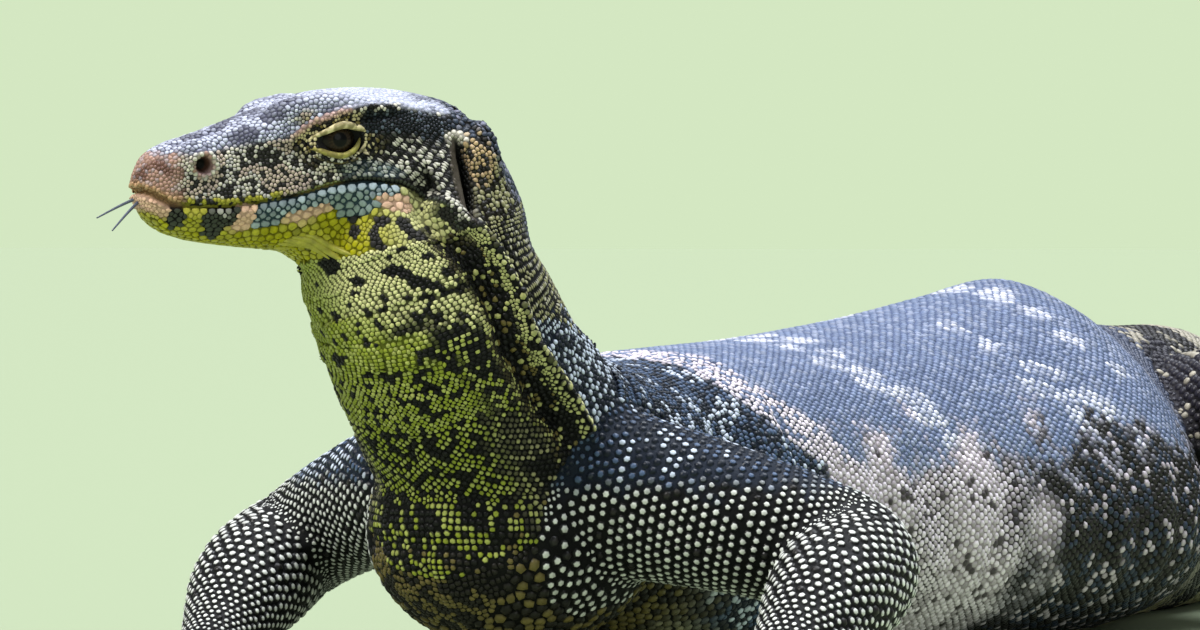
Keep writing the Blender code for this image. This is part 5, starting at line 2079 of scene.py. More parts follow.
    def place(self, coat: Coat, body: BodyMap) -> None:
        """Adds the head's scales to the coat.

        Args:
            coat: The scales placed so far.
            body: Tells which part each point is on.
        """
        self.edges(coat)
        self.lip_plates(coat)
        self.cheek(coat, body)
        points = coat.surface.points
        scatter(coat, body, points[in_head(points)], self.size_at, self.barred, self.SEED, rounds=6)


def scatter(coat: Coat, body: BodyMap, pool: Array, size_at: Callable[[Places], Array],
            barred: Callable[[Places], Array], seed: int, rounds: int) -> None:
    """Fills a stretch of skin with scales about a given distance apart, then evens them out.

    Args:
        coat: The scales placed so far, to which these are added.
        body: Tells where each point is.
        pool: Points of the skin to choose from.
        size_at: Gives the distance between neighbours at each place.
        barred: Tells where no scale may be.
        seed: Seed of the random order.
        rounds: Rounds of evening out.
    """
    rng = np.random.default_rng(seed)
    pool = pool[rng.permutation(len(pool))]
    pool, normals, _ = coat.surface.nearest(pool)
    at = body.places(pool, normals)
    size = size_at(at)
    free = ~barred(at)
    pool, size = pool[free], size[free]
    grid: dict[tuple[int, int, int], list[tuple[Array, float]]] = {}
    low = pool.min(axis=0) - 0.01
    high = pool.max(axis=0) + 0.01
    near = np.all((coat.points > low) & (coat.points < high), axis=1)
    for point, own in zip(coat.points[near], coat.size[near]):
        grid.setdefault(tuple((point // CELL).astype(int)), []).append((point, own))
    chosen, sizes = [], []
    steps = list(np.ndindex(3, 3, 3))
    for point, own in zip(pool, size):
        key = (point // CELL).astype(int)
        fits = True
        for step in steps:
            for other, theirs in grid.get(tuple(k + s - 1 for k, s in zip(key.tolist(), step)), ()):
                gap = (own + theirs) * 0.5 * CLOSEST
                x, y, z = point[0] - other[0], point[1] - other[1], point[2] - other[2]
                if x**2 + y**2 + z**2 < gap * gap:
                    fits = False
                    break
            if not fits:
                break
        if fits:
            grid.setdefault(tuple(key), []).append((point, own))
            chosen.append(point)
            sizes.append(own)
    if not chosen:
        return
    points, sizes = np.array(chosen), np.array(sizes)
    fixed, fixed_size = coat.points[near], coat.size[near]
    for _ in range(rounds):
        every = np.vstack([fixed, points])
        own = np.concatenate([fixed_size, sizes])
        index, away = neighbours(every, 7, np.arange(len(fixed), len(every)))
        offset = points[:, None] - every[index]
        want = (sizes[:, None] + own[index]) * 0.5 * EVEN_GAP
        push = np.clip(want - away, 0.0, None)[..., None] * unit(offset)
        points = coat.surface.nearest(points + push.sum(axis=1) * PUSH)[0]
    at = body.places(points, coat.surface.nearest(points)[1])
    free = ~barred(at)
    ahead = np.where(in_head(points)[:, None], -HEAD_AHEAD, np.array((0.0, 1.0, 0.0)))
    coat.add(points[free], ahead[free], sizes[free], keep=0.0)


def neighbours(points: Array, count: int, wanted: Array) -> tuple[Array, Array]:
    """The nearest other points of each wanted one, and how far off they are.

    Args:
        points: The points, one a row.
        count: How many are wanted.
        wanted: Numbers of the points to look from.

    Returns:
        Their numbers and distances.
    """
    index, away = nearest_of(points, points[wanted], count + 1)
    other = index != wanted[:, None]
    other &= np.cumsum(other, axis=1) <= count
    return index[other].reshape(-1, count), away[other].reshape(-1, count)


def nearest_of(points: Array, wanted: Array, count: int) -> tuple[Array, Array]:
    """The nearest of the points to each wanted place, and how far off they are.

    Args:
        points: The points, one a row.
        wanted: The places to look from.
        count: How many are wanted.

    Returns:
        Their numbers and distances.
    """
    tree = tree_of(points)
    found = [tree.find_n(place, count) for place in wanted.tolist()]
    return (np.array([[item[1] for item in row] for row in found]),
            np.array([[item[2] for item in row] for row in found]))


@dataclass(frozen=True)
class Patch:
    """One piece of the coat.

    Attributes:
        name: Name of the piece.
        kind: Shape of its scales.
        finish: Their finish.
        height: Height of a scale as a share of its reach.
        gap: Share of its outline that a scale fills.
        round: How far outlines are drawn in to circles, from 0 to 1.
        slot: A slot's name, which it carries; it is not used.
        chosen: Tells which places belong to it.
    """

    name: str
    kind: Kind
    finish: Finish
    height: float
    gap: float
    round: float
    slot: str
    chosen: Callable[[Places], Array]


class ScaleBuilder:
    """Turns the placed scales into meshes."""

    # How many neighbours cut an outline, the tallest scale, and the lowest that a corner lies
    REACH, HIGHEST, FLOOR = 9, 0.0011, 0.0001
    # How near an opening's edge a scale counts as beside it, and how far its rays may then stand out
    BESIDE, LONGEST = 0.0026, 1.3
    # How far off an edge still cuts outlines, and the least reach that it leaves
    EDGE_NEAR, LEAST_ROOM = 0.005, 0.00015
    # Longest reach as a share of the distance between neighbours, and of the shortest where rounded
    FARTHEST, ROUNDEST = 0.72, 1.12
    # How far the brightness and the height of single scales wander
    SHADES, HEIGHTS = (0.86, 1.12), (0.88, 1.08)
    # Size of a scale's patch on the unwrap, and the height in millimetres that the head's goes round
    PATCH_SIZE, HEAD_MIDDLE = 0.003, 155.0

    def __init__(self, coat: Coat, body: BodyMap, markings: Markings) -> None:
        """Works out each scale's neighbours, place and colours.

        Args:
            coat: The placed scales.
            body: Tells which part each point is on.
            markings: The animal's colours.
        """
        self.coat = coat
        self.markings = markings
        self.index, _ = neighbours(coat.points, self.REACH, np.arange(len(coat.points)))
        self.edge_index, self.edge_away = nearest_of(coat.edges, coat.points, 4)
        self.at = body.places(coat.points, coat.normals)
        self.paint = markings.colours(self.at)
        self.rng = np.random.default_rng(3)
        self.shade = self.rng.uniform(*self.SHADES, len(coat.points))

    def outlines(self, rows: Array, sides: int, round_by: float) -> tuple[Array, Array, Array]:
        """Each scale's outline, cut half way to its neighbours.

        Args:
            rows: Numbers of the scales.
            sides: Corners of an outline.
            round_by: How far it is drawn in to a circle.

        Returns:
            The reach to each corner, and the two directions in the skin's plane.
        """
        coat = self.coat
        normal = unit(coat.normals[rows])
        first = coat.ahead[rows]
        first = unit(first - normal * np.einsum("ij,ij->i", first, normal)[:, None])
        second = np.cross(normal, first)
        angles = turns(sides)
        rays = round_about(first, second, angles)
        offset = coat.points[self.index[rows]] - coat.points[rows][:, None]
        half = 0.5 * np.einsum("nkc,nkc->nk", offset, offset)
        toward = np.einsum("nkc,nsc->nks", offset, rays)
        reach = np.where(toward > TINY, half[..., None] / np.maximum(toward, TINY), np.inf).min(axis=1)
        reach = np.minimum(reach, coat.size[rows][:, None] * self.FARTHEST)
        if len(coat.edges):
            reach = np.minimum(reach, self.edge_reach(rows, normal, rays))
            beside = self.edge_away[rows].min(axis=1, keepdims=True) < self.BESIDE
            middle = np.median(reach, axis=1, keepdims=True)
            reach = np.where(beside, np.minimum(reach, middle * self.LONGEST), reach)
        least = reach.min(axis=1, keepdims=True)
        reach = reach * (1 - round_by) + np.minimum(reach, least * self.ROUNDEST) * round_by
        return reach, first, second

    def edge_reach(self, rows: Array, normal: Array, rays: Array) -> Array:
        """How far each ray may go before it meets the edge of an opening.

        Args:
            rows: Numbers of the scales.
            normal: The skin's outward directions.
            rays: Directions to the corners.

        Returns:
            The reach of each ray.
        """
        coat = self.coat
        found = self.edge_index[rows]
        offset = coat.edges[found] - coat.points[rows][:, None]
        offset = offset - normal[:, None] * np.einsum("nkc,nc->nk", offset, normal)[..., None]
        length = np.linalg.norm(offset, axis=2)
        room = np.maximum(length - coat.margins[found], self.LEAST_ROOM) * length
        toward = np.einsum("nkc,nsc->nks", offset, rays)
        near = (self.edge_away[rows] < self.EDGE_NEAR)[..., None]
        reach = room[..., None] / np.maximum(toward, TINY)
        return np.where((toward > TINY) & near, reach, np.inf).min(axis=1)

    def build(self, patch: Patch) -> None:
        """Makes one piece of the coat.

        Args:
            patch: Which piece.
        """
        rows = np.nonzero(patch.chosen(self.at))[0]
        if not len(rows):
            return
        sides, steps = patch.kind.sides, patch.kind.steps
        reach, first, second = self.outlines(rows, sides, patch.round)
        normal = unit(self.coat.normals[rows])
        roots = self.coat.points[rows]
        angles = turns(sides)
        tall = np.minimum(reach.mean(axis=1) * patch.height, self.HIGHEST)
        tall = tall * self.rng.uniform(*self.HEIGHTS, len(rows))
        flat = round_about(first, second, angles)
        centre = self.paint.centre[rows] * self.shade[rows][:, None]
        rim = self.paint.rim[rows]
        points, colours, spread = [], [], []
        for wide, lift, share in steps:
            ring = roots[:, None] + flat * (reach * patch.gap * wide)[..., None]
            ring = ring + normal[:, None] * (tall * lift)[:, None, None]
            ring[..., 2] = np.maximum(ring[..., 2], self.FLOOR)
            points.append(ring)
            # Each ring mixes rim and centre colours: the dark skin between scales, and painted shade up the
            # scale's side
            colours.append(np.repeat((rim * (1 - share) + centre * share)[:, None], sides, axis=1))
            spread.append(np.stack([np.cos(angles), np.sin(angles)], axis=1) * wide)
        tip = (roots + normal * tall[:, None])[:, None]
        tip[..., 2] = np.maximum(tip[..., 2], self.FLOOR)
        points.append(tip)
        colours.append(centre[:, None])
        spread.append(np.zeros((1, 2)))
        points = np.concatenate(points, axis=1)
        colours = np.concatenate(colours, axis=1)
        spread = np.concatenate(spread, axis=0)
        made = self.mesh_of(patch, points.reshape(-1, 3), self.faces(len(rows), sides, len(steps)))
        set_colours(made.data, colours.reshape(-1, 3))
        self.unwrap(made.data, rows, spread)
        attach(made, "root")
        log.info("%s: %d scales, %d triangles", patch.name, len(rows), len(made.data.polygons))

    def faces(self, count: int, sides: int, rings: int) -> Array:
        """Triangles of so many scales.

        Args:
            count: How many scales.
            sides: Corners of each ring.
            rings: Rings of each, without its tip.

        Returns:
            The corners of each triangle.
        """
        one = []
        for ring in range(rings - 1):
            for i in range(sides):
                j = (i + 1) % sides
                a, b = ring * sides + i, ring * sides + j
                c, d = a + sides, b + sides
                one += [(a, b, d), (a, d, c)]
        last = (rings - 1) * sides
        one += [(last + i, last + (i + 1) % sides, rings * sides) for i in range(sides)]
        step = rings * sides + 1
        return (np.array(one)[None] + (np.arange(count) * step)[:, None, None]).reshape(-1, 3)

    def mesh_of(self, patch: Patch, points: Array, faces: Array) -> bpy.types.Object:
        """Object with this mesh and the patch's finish.

        Args:
            patch: The piece.
            points: Its points.
            faces: Its triangles.

        Returns:
            The object.
        """
        data = bpy.data.meshes.new(patch.name)
        data.vertices.add(len(points))
        data.vertices.foreach_set("co", (points - REST).ravel())
        data.loops.add(faces.size)
        data.loops.foreach_set("vertex_index", faces.ravel().astype(np.int32))
        data.polygons.add(len(faces))
        data.polygons.foreach_set("loop_start", np.arange(0, faces.size, 3, dtype=np.int32))
        data.update(calc_edges=True)
        data.shade_smooth()
        data.materials.append(patch.finish.material())
        return linked(patch.name, data)

    def unwrap(self, data: bpy.types.Mesh, rows: Array, spread: Array) -> None:
        """Lays each scale as a small patch at its root's place on an unwrap of the skin's shape.

        Args:
            data: The mesh.
            rows: Numbers of the scales.
            spread: Where a scale's points lie round its root.
        """
        at = self.at
        lift, hand = np.radians(at.lift[rows]), np.sign(at.points[rows, 0] + TINY)
        turn = np.degrees(np.arctan2(np.sin(lift), np.cos(lift) * hand))
        head = at.part[rows] == Part.HEAD.value
        side = head_numbers(at.points[rows])[1] / MM
        out = np.degrees(np.arctan2(at.height[rows] - self.HEAD_MIDDLE, side))
        across = np.where(head, out, turn) / 360.0 + 0.5
        down = np.where(head, at.back[rows] / 1000.0, at.along[rows])
        down = (down - down.min()) / max(np.ptp(down), 1e-6)
        root = np.stack([across, down], axis=1) * (1 - 2 * self.PATCH_SIZE) + self.PATCH_SIZE
        corners = root[:, None] + spread[None] * (self.PATCH_SIZE / 2)
        layer = data.uv_layers.new(name="OFBake")
        index = np.empty(len(data.loops), np.int32)
        data.loops.foreach_get("vertex_index", index)
        layer.data.foreach_set("uv", corners.reshape(-1, 2)[index].ravel().astype(np.float32))


class Rows(NamedTuple):
    """A stretch of body that takes staggered rows of scales.

    Attributes:
        tube: The length of body that the rows go round.
        start: Where along it they begin.
        end: Where they end.
        around: Scales in each row.
        stretch: Distance between rows as a share of that between scales in a row.
        owner: Number of the body part that they belong to.
        chosen: Tells which places take them, where not all do.
    """

    tube: Tube
    start: float
    end: float
    around: int
    stretch: float
    owner: int
    chosen: Callable[[Places], Array] | None


@dataclass
class ScaleCoat:
    """The whole coat of scales.

    Attributes:
        body: Tells which part each place is on.
        surface: The skin's shape.
        markings: The animal's colours.
    """

    body: BodyMap
    surface: Surface
    markings: Markings
    # Distance between the scales along the neck's fold
    FOLD_STEP = 0.0029
    # Height over which scales lie in rows, and over which they are scattered
    ROWS_FROM, SCATTERED_FROM = 0.0012, 0.0006
    # Least and greatest distance between scattered scales, on the neck and elsewhere
    FINEST, COARSE_NECK, COARSE = 0.0017, 0.0020, 0.0034
    # Share of the distance between scales in rows from which skin counts as bare, and its cap
    BARE_FROM, WIDEST_GAP = 0.62, 0.0040
    # How far off the skin a place in a row may be
    NEAR_SKIN = 0.0050
    # Pieces of the coat on back and tail: name, rounding, slot, and where along the trunk they run
    STRETCHES = (
        ("fore_back", 0.15, "back_skin", 0.190, 0.31), ("mid_back", 0.15, "back_skin", 0.31, 0.42),
        ("rear_back", 0.15, "back_skin", 0.42, 0.54), ("rump", 0.15, "dark_skin", 0.54, 0.70),
        ("tail_root", 0.05, "dark_skin", 0.70, 1.0), ("tail", 0.05, "dark_skin", 1.0, 1.3),
        ("tail_tip", 0.05, "dark_skin", 1.3, 9.0),
    )

    def place(self) -> Coat:
        """Places every scale of the animal.

        Returns:
            The placed scales.
        """
        coat = Coat(self.surface)
        HeadScales().place(coat, self.body)
        log.info("head places: %d", len(coat.points))
        self.fold_plates(coat)
        stretches = [
            Rows(TRUNK, 0.0, 0.066, 112, 0.32, 0, self.before_fold),
            Rows(TRUNK, 0.066, 0.105, 80, 0.32, 0, self.before_fold),
            Rows(TRUNK, 0.0, 0.060, 208, 1.60, 0, self.behind_fold),
            Rows(TRUNK, 0.060, 0.105, 112, 0.95, 0, self.behind_fold),
            Rows(TRUNK, 0.100, 0.182, 200, 1.90, 0, self.upper_side),
            Rows(TRUNK, 0.090, 0.190, 96, 0.87, 0, None),
            Rows(TRUNK, 0.182, 0.540, 148, 0.87, 0, self.off_belly),
            Rows(TRUNK, 0.190, 0.540, 84, 1.30, 0, None), Rows(TRUNK, 0.540, 0.660, 96, 0.90, 0, None),
            Rows(TRUNK, 0.660, 0.90, 56, 0.98, 0, None), Rows(TRUNK, 0.90, 1.27, 38, 1.05, 0, None),
            Rows(TRUNK, 1.27, 1.75, 24, 1.12, 0, None),
        ]
        for number, leg in enumerate(LEGS, 1):
            tube, fore = leg.tube(), leg.palm < 0.04
            bend = float(tube.along[10])
            stretches.append(Rows(tube, 0.0, bend, 46 if fore else 50, 0.88, number, None))
            stretches.append(Rows(tube, bend, 0.30, 30 if fore else 42, 0.88, number, None))
        for rows in stretches:
            points, ways, sizes = rows_round(rows.tube, rows.start, min(rows.end, rows.tube.along[-1]),
                                             rows.around, rows.stretch)
            places, normals, away = self.surface.nearest(points)
            at = self.body.places(places, normals)
            keep = (away < self.NEAR_SKIN) & ~in_head(places) & (at.part == rows.owner)
            keep &= places[:, 2] > self.ROWS_FROM
            if rows.chosen is not None:
                keep &= rows.chosen(at)
            longest = sizes * max(rows.stretch, 1.0)
            coat.add(places[keep], ways[keep], longest[keep], keep=0.62 / max(rows.stretch, 1.0))
        log.info("rows placed: %d", len(coat.points))
        self.fill(coat)
        log.info("filled: %d", len(coat.points))
        return coat

    def before_fold(self, at: Places) -> Array:
        """Which places are in front of the neck's fold."""
        return fold_place(at.points)[1] < 0.0

    def behind_fold(self, at: Places) -> Array:
        """Which places are behind the neck's fold."""
        return fold_place(at.points)[1] >= 0.0

    def upper_side(self, at: Places) -> Array:
        """Which places are on the upper half of the trunk."""
        return at.lift > -10.0

    def too_low(self, at: Places) -> Array:
        """Which places are so near the floor that they take no scale."""
        return at.points[:, 2] < self.SCATTERED_FROM

    def off_belly(self, at: Places) -> Array:
        """Which places are on the trunk above its underside."""
        return at.lift > -44.0

    def fold_plates(self, coat: Coat) -> None:
        """Adds the larger scales along the crest of the neck's fold.

        Args:
            coat: The scales placed so far.
        """
        line = smooth_rows(NECK_FOLD[1:], 12)
        length = np.concatenate([[0.0], np.cumsum(np.linalg.norm(np.diff(line, axis=0), axis=1))])
        for hand in (LEFT, RIGHT):
            for offset, phase in ((0.0, 0.0), (0.0026, 0.5)):
                at = (np.arange(0.0, length[-1] / self.FOLD_STEP - 1) + phase) * self.FOLD_STEP
                points = np.stack([np.interp(at, length, line[:, k]) for k in range(3)], axis=1)
                points[:, 1] += offset
                points[:, 0] = NECK_MIDDLE + hand * (points[:, 0] - NECK_MIDDLE)
                points = points[~in_head(points)]
                count = len(points)
                coat.add(points, np.tile(-UP, (count, 1)), np.full(count, self.FOLD_STEP), keep=0.5)

    def fill(self, coat: Coat) -> None:
        """Scatters scales over hands, feet and the stretches that the rows leave bare.

        Args:
            coat: The scales placed so far.
        """
        points = self.surface.points
        points = points[(points[:, 2] > self.ROWS_FROM) & ~in_head(points)]
        tree = tree_of(coat.points)
        found = [tree.find(place) for place in points.tolist()]
        gap = np.array([item[2] for item in found])
        sizes = coat.size
        room = np.minimum(sizes[[item[1] for item in found]], self.WIDEST_GAP) * self.BARE_FROM
        bare = points[gap > room]

        def size_at(at: Places) -> Array:
            """Distance between neighbours, after the nearest scale in a row.

            Args:
                at: The places.

            Returns:
                The distances.
            """
            here = np.array([tree.find(place)[1] for place in at.points.tolist()])
            on_neck = (at.points[:, 1] < 0.03) & (at.points[:, 2] > 0.07)
            return np.clip(sizes[here], self.FINEST, np.where(on_neck, self.COARSE_NECK, self.COARSE))

        scatter(coat, self.body, bare, size_at, self.too_low, seed=9, rounds=3)

    def patches(self) -> tuple[Patch, ...]:
        """The pieces of the coat.

        Returns:
            The pieces.
        """
        trunk, head = Part.TRUNK.value, Part.HEAD.value

        def on_trunk(low: float, high: float) -> Callable[[Places], Array]:
            """A test for places on this length of the trunk."""
            return lambda at: (at.part == trunk) & (at.along >= low) & (at.along < high)

        def on_leg(part: Part) -> Callable[[Places], Array]:
            """A test for places on this leg."""
            return lambda at: at.part == part.value

        def above_mouth(at: Places) -> Array:
            """Which places are above the mouth's line."""
            return at.height > mouth_height(at.back)

        return (
            Patch("crown_scales", Kind.PEBBLE, HEAD_SCALE, 0.30, 0.98, 0.05, "head_skin",
                  lambda at: (at.part == head) & above_mouth(at) & (at.normals[:, 2] > 0.35)),
            Patch("cheek_scales", Kind.PEBBLE, HEAD_SCALE, 0.42, 0.97, 0.0, "head_skin",
                  lambda at: (at.part == head) & above_mouth(at) & (at.normals[:, 2] <= 0.35)),
            Patch("jaw_scales", Kind.PLATE, HEAD_SCALE, 0.24, 0.975, 0.0, "head_skin",
                  lambda at: (at.part == head) & ~above_mouth(at)),
            Patch("throat_scales", Kind.TILE, NECK_SCALE, 0.34, 0.985, 0.0, "neck_skin",
                  lambda at: on_trunk(0.0, 0.066)(at) & self.before_fold(at)),
            Patch("neck_scales", Kind.BEAD, NECK_SCALE, 0.44, 0.97, 0.30, "neck_skin",
                  lambda at: on_trunk(0.0, 0.105)(at) & ((at.along >= 0.066) | self.behind_fold(at))),
            Patch("shoulder_scales", Kind.TILE, BODY_SCALE, 0.46, 0.96, 0.10, "back_skin",
                  on_trunk(0.105, 0.190)),
            *(Patch(f"{name}_scales", Kind.PLAIN, BODY_SCALE, 0.36, 0.96, rounding, slot,
                    on_trunk(start, end)) for name, rounding, slot, start, end in self.STRETCHES),
            *(Patch(f"{side_word(leg.hand)}_arm_scales", Kind.DOT, BODY_SCALE, 0.44, 0.97, 0.55,
                    "dark_skin", on_leg(leg.part)) for leg in LEGS[:2]),
            *(Patch(f"{side_word(leg.hand)}_leg_scales", Kind.PLAIN, BODY_SCALE, 0.42, 0.96, 0.30,
                    "dark_skin", on_leg(leg.part)) for leg in LEGS[2:]),
        )

    def build(self) -> None:
        """Makes every piece of the coat."""
        builder = ScaleBuilder(self.place(), self.body, self.markings)
        for patch in self.patches():
            builder.build(patch)


# Eyes, lids, tongue, claws


@dataclass
class Eye:
    """One eyeball with its pupil and iris.

    Attributes:
        hand: 1 for the left, -1 for the right.
        pupil: Angle that the pupil spans from the eye's axis, in degrees.
        iris: Angle that the iris spans.
    """

    hand: int
    pupil: float = 19.0
    iris: float = 30.0
    # How far the eye looks ahead for one outward, and the rings and corners of its ball
    AHEAD, RINGS, SIDES = 0.12, 39, 48
    BROWN = np.array((0.020, 0.011, 0.006))
    RING = np.array((0.040, 0.028, 0.014))
    PUPIL = np.array((0.001, 0.001, 0.001))
    DARK = np.array((0.010, 0.007, 0.005))

    def build(self) -> None:
        """Makes the eye."""
        side = side_word(self.hand)
        centre = head_place(EYE[0], self.hand * EYE[1], EYE[2])
        axis = unit(HEAD_LEFT * self.hand + HEAD_AHEAD * self.AHEAD)
        first = unit(np.cross(axis, UP))
        second = np.cross(axis, first)
        lift = np.linspace(math.pi / 2, -math.pi / 2, self.RINGS + 2)[1:-1]
        turn = turns(self.SIDES)
        rings = []
        for angle in lift:
            flat = np.outer(np.cos(turn), first) + np.outer(np.sin(turn), second)
            rings.append(centre + EYE_RADIUS * (flat * math.cos(angle) + axis * math.sin(angle)))
        made = new_object(f"{side}_eye", loft(np.array(rings), np.array((centre + axis * EYE_RADIUS,
                                                                        centre - axis * EYE_RADIUS))))
        places = np.vstack([np.array(rings).reshape(-1, 3), centre + axis, centre - axis])
        set_colours(made.data, self.colours(unit(places - centre), axis, first, second))
        made.data.materials.append(EYE_WET.material())
        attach(made, "root")
        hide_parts(f"eye_{side}")
        log.info("%s eye", side)

    def colours(self, ways: Array, axis: Array, first: Array, second: Array) -> Array:
        """Black pupil in a dark brown iris with a thin pale ring and streaks.

        Args:
            ways: Directions from the eye's middle.
            axis: The way that it looks.
            first: A direction square to the axis.
            second: The direction square to both.

        Returns:
            The colours.
        """
        angle = np.degrees(np.arccos(np.clip(ways @ axis, -1, 1)))
        turn = np.arctan2(ways @ second, ways @ first)
        streak = 0.5 + 0.5 * np.sin(turn * 23.0 + 2.0 * np.sin(turn * 5.0))
        brown = self.BROWN[None] * (0.5 + 1.1 * streak[:, None])
        ring = ramp(np.abs(angle - self.pupil - 2.0), 2.5, 1.0)[:, None]
        colour = brown * (1 - ring * 0.5) + self.RING * ring * 0.5
        pupil = ramp(angle, self.pupil + 1.0, self.pupil - 1.0)[:, None]
        colour = colour * (1 - pupil) + self.PUPIL * pupil
        white = ramp(angle, self.iris, self.iris + 8.0)[:, None]
        return colour * (1 - white) + self.DARK * white


@dataclass
class Lids:
    """Heavy rims round one eye.

    Attributes:
        hand: 1 for the left, -1 for the right.
        upper: Middle line of the upper rim: back and height in millimetres, and radius.
        lower: The same for the lower rim.
        rear: The same for the fold behind the eye.
        fold: The same for the fold under it.
    """

    hand: int
    upper: tuple[Row, ...] = (
        (48.4, 165.9, 0.30), (50.4, 167.2, 0.60), (53.4, 168.9, 0.90), (56.2, 170.1, 1.12),
        (58.6, 170.4, 1.15), (61.2, 170.0, 1.05), (63.4, 169.4, 0.85), (64.8, 168.6, 0.35),
    )
    lower: tuple[Row, ...] = (
        (48.8, 163.4, 0.35), (50.8, 163.0, 0.75), (53.4, 162.0, 0.85), (56.6, 161.4, 0.88),
        (59.2, 161.9, 0.88), (61.6, 163.4, 0.80), (63.0, 165.2, 0.55), (63.8, 166.6, 0.25),
    )
    rear: tuple[Row, ...] = (
        (62.4, 162.0, 0.25), (63.6, 163.0, 0.50), (64.6, 164.4, 0.50), (65.2, 166.0, 0.20),
    )
    fold: tuple[Row, ...] = (
        (49.6, 161.2, 0.25), (52.0, 160.2, 0.45), (56.0, 159.3, 0.50), (60.0, 159.8, 0.45),
        (63.0, 161.0, 0.25),
    )
    # Room, in square millimetres, under which a rim keeps to the skin instead of the eyeball
    NEAR_EYE = 22.0

    def line(self, rows: tuple[Row, ...], surface: Surface) -> tuple[list[Array], list[float]]:
        """Places and radii of a rim that hugs the eyeball.

        Args:
            rows: Its middle line and radii, in millimetres.
            surface: The skin's shape.

        Returns:
            The places and the radii.
        """
        points, radii = [], []
        for back, height, radius in smooth_rows(rows, 3):
            across, rise = back - EYE[0] / MM, height - EYE[2] / MM
            room = (EYE_RADIUS / MM + 1.5) ** 2 - across**2 - rise**2
            out = EYE[1] / MM + math.sqrt(max(room, 0.2))
            skin = surface.from_side(back * MM, self.hand, height * MM)
            if skin is not None and room < self.NEAR_EYE:
                level = float((skin - SNOUT_TIP) @ HEAD_LEFT) * self.hand / MM
                out = max(level - 0.1, min(out, level + 0.6))
            points.append(head_place(back * MM, self.hand * out * MM, height * MM))
            radii.append(radius * MM)
        return points, radii

    def build(self, surface: Surface) -> None:
        """Makes both rims as one piece.

        Args:
            surface: The skin's shape.
        """
        side = side_word(self.hand)
        forms, colours = [], []
        for rows, tone, dark in (
            (self.upper, Tone.LID, Tone.OLIVE), (self.lower, Tone.LID_LOWER, Tone.OLIVE),
            (self.rear, Tone.LID, Tone.CHEEK_DARK), (self.fold, Tone.OLIVE, Tone.CHEEK_DARK),
        ):
            form = round_tube(*self.line(rows, surface), sides=16, steps=6)
            forms.append(form)
            lumps = value_noise(form.points, 0.0011, 61) + 0.5 * value_noise(form.points, 0.0030, 62)
            stain = 0.75 * ramp(lumps, 0.95, 0.62)[:, None]
            colours.append(tone.linear * (1 - stain) + dark.linear * stain)
        made = new_object(f"{side}_lids", merged(forms))
        set_colours(made.data, np.vstack(colours))
        made.data.materials.append(LID_SKIN.material())
        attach(made, "root")
        log.info("%s lids", side)


@dataclass
class Frill:
    """Loose yellow folds where the jaw meets the throat.

    Attributes:
        folds: For each, where it begins and ends behind the snout tip, out and up, and its radius.
    """

    folds: tuple[tuple[float, ...], ...] = (
        (43.0, 8.0, 134.6, 49.5, 13.0, 131.0, 1.0), (44.0, 10.0, 135.6, 53.0, 15.5, 130.8, 1.2),
        (46.0, 12.0, 136.2, 57.5, 18.0, 131.2, 1.2), (49.0, 14.0, 136.6, 61.5, 20.0, 132.4, 1.0),
        (43.0, 4.5, 134.0, 47.0, 8.0, 130.4, 0.9),
    )
    # Share of the radius at even steps along a fold
    SWELL = (0.35, 0.8, 1.0, 1.0, 0.75, 0.25)

    def build(self, surface: Surface) -> None:
        """Makes the folds of both sides as one piece.

        Args:
            surface: The skin's shape.
        """
        forms = []
        for hand in (LEFT, RIGHT):
            for b0, o0, h0, b1, o1, h1, radius in self.folds:
                line = []
                for t in np.linspace(0.0, 1.0, len(self.SWELL)):
                    place = head_place((b0 + (b1 - b0) * t) * MM, hand * (o0 + (o1 - o0) * t) * MM,
                                       (h0 + (h1 - h0) * t) * MM)
                    line.append(surface.nearest(place[None])[0][0])
                sizes = radius * MM * np.array(self.SWELL)
                forms.append(round_tube(line, sizes, 10, 3))
        made = new_object("throat_frill", merged(forms))
        made.data.materials.append(FRILL_SKIN.material())
        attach(made, "root")
        log.info("frill")


@dataclass
class Tongue:
    """The forked tongue, just out of the mouth.

    Attributes:
        root: Where it begins: behind the snout tip, out and up.
        fork: Where it forks.
        tips: The ends of its tines.
        radius: Radius at the fork.
    """

    root: tuple[float, float, float] = (0.0065, 0.0, 0.1500)
    fork: tuple[float, float, float] = (0.0040, 0.0, 0.1502)
    tips: tuple[Row, ...] = ((-0.0084, 0.0042, 0.1395), (-0.0094, -0.0046, 0.1432))
    radius: float = 0.0008

    def build(self) -> None:
        """Makes the stem and both tines as one piece."""
        root, fork = head_place(*self.root), head_place(*self.fork)
        forms = [round_tube((root, (root + fork) / 2, fork), [self.radius * 1.15] * 3, 16, 6)]
        for tip in self.tips:
            end = head_place(*tip)
            bend = fork + (end - fork) * 0.50 + UP * 0.0002
            line = (fork + (root - fork) * 0.12, bend, end)
            forms.append(round_tube(line, (self.radius * 0.72, self.radius * 0.50, 0.00022), 12, 10))
        made = new_object("forked_tongue", merged(forms))
        made.data.materials.append(TONGUE_WET.material())
        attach(made, "root")
        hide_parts("tongue")
        log.info("tongue")


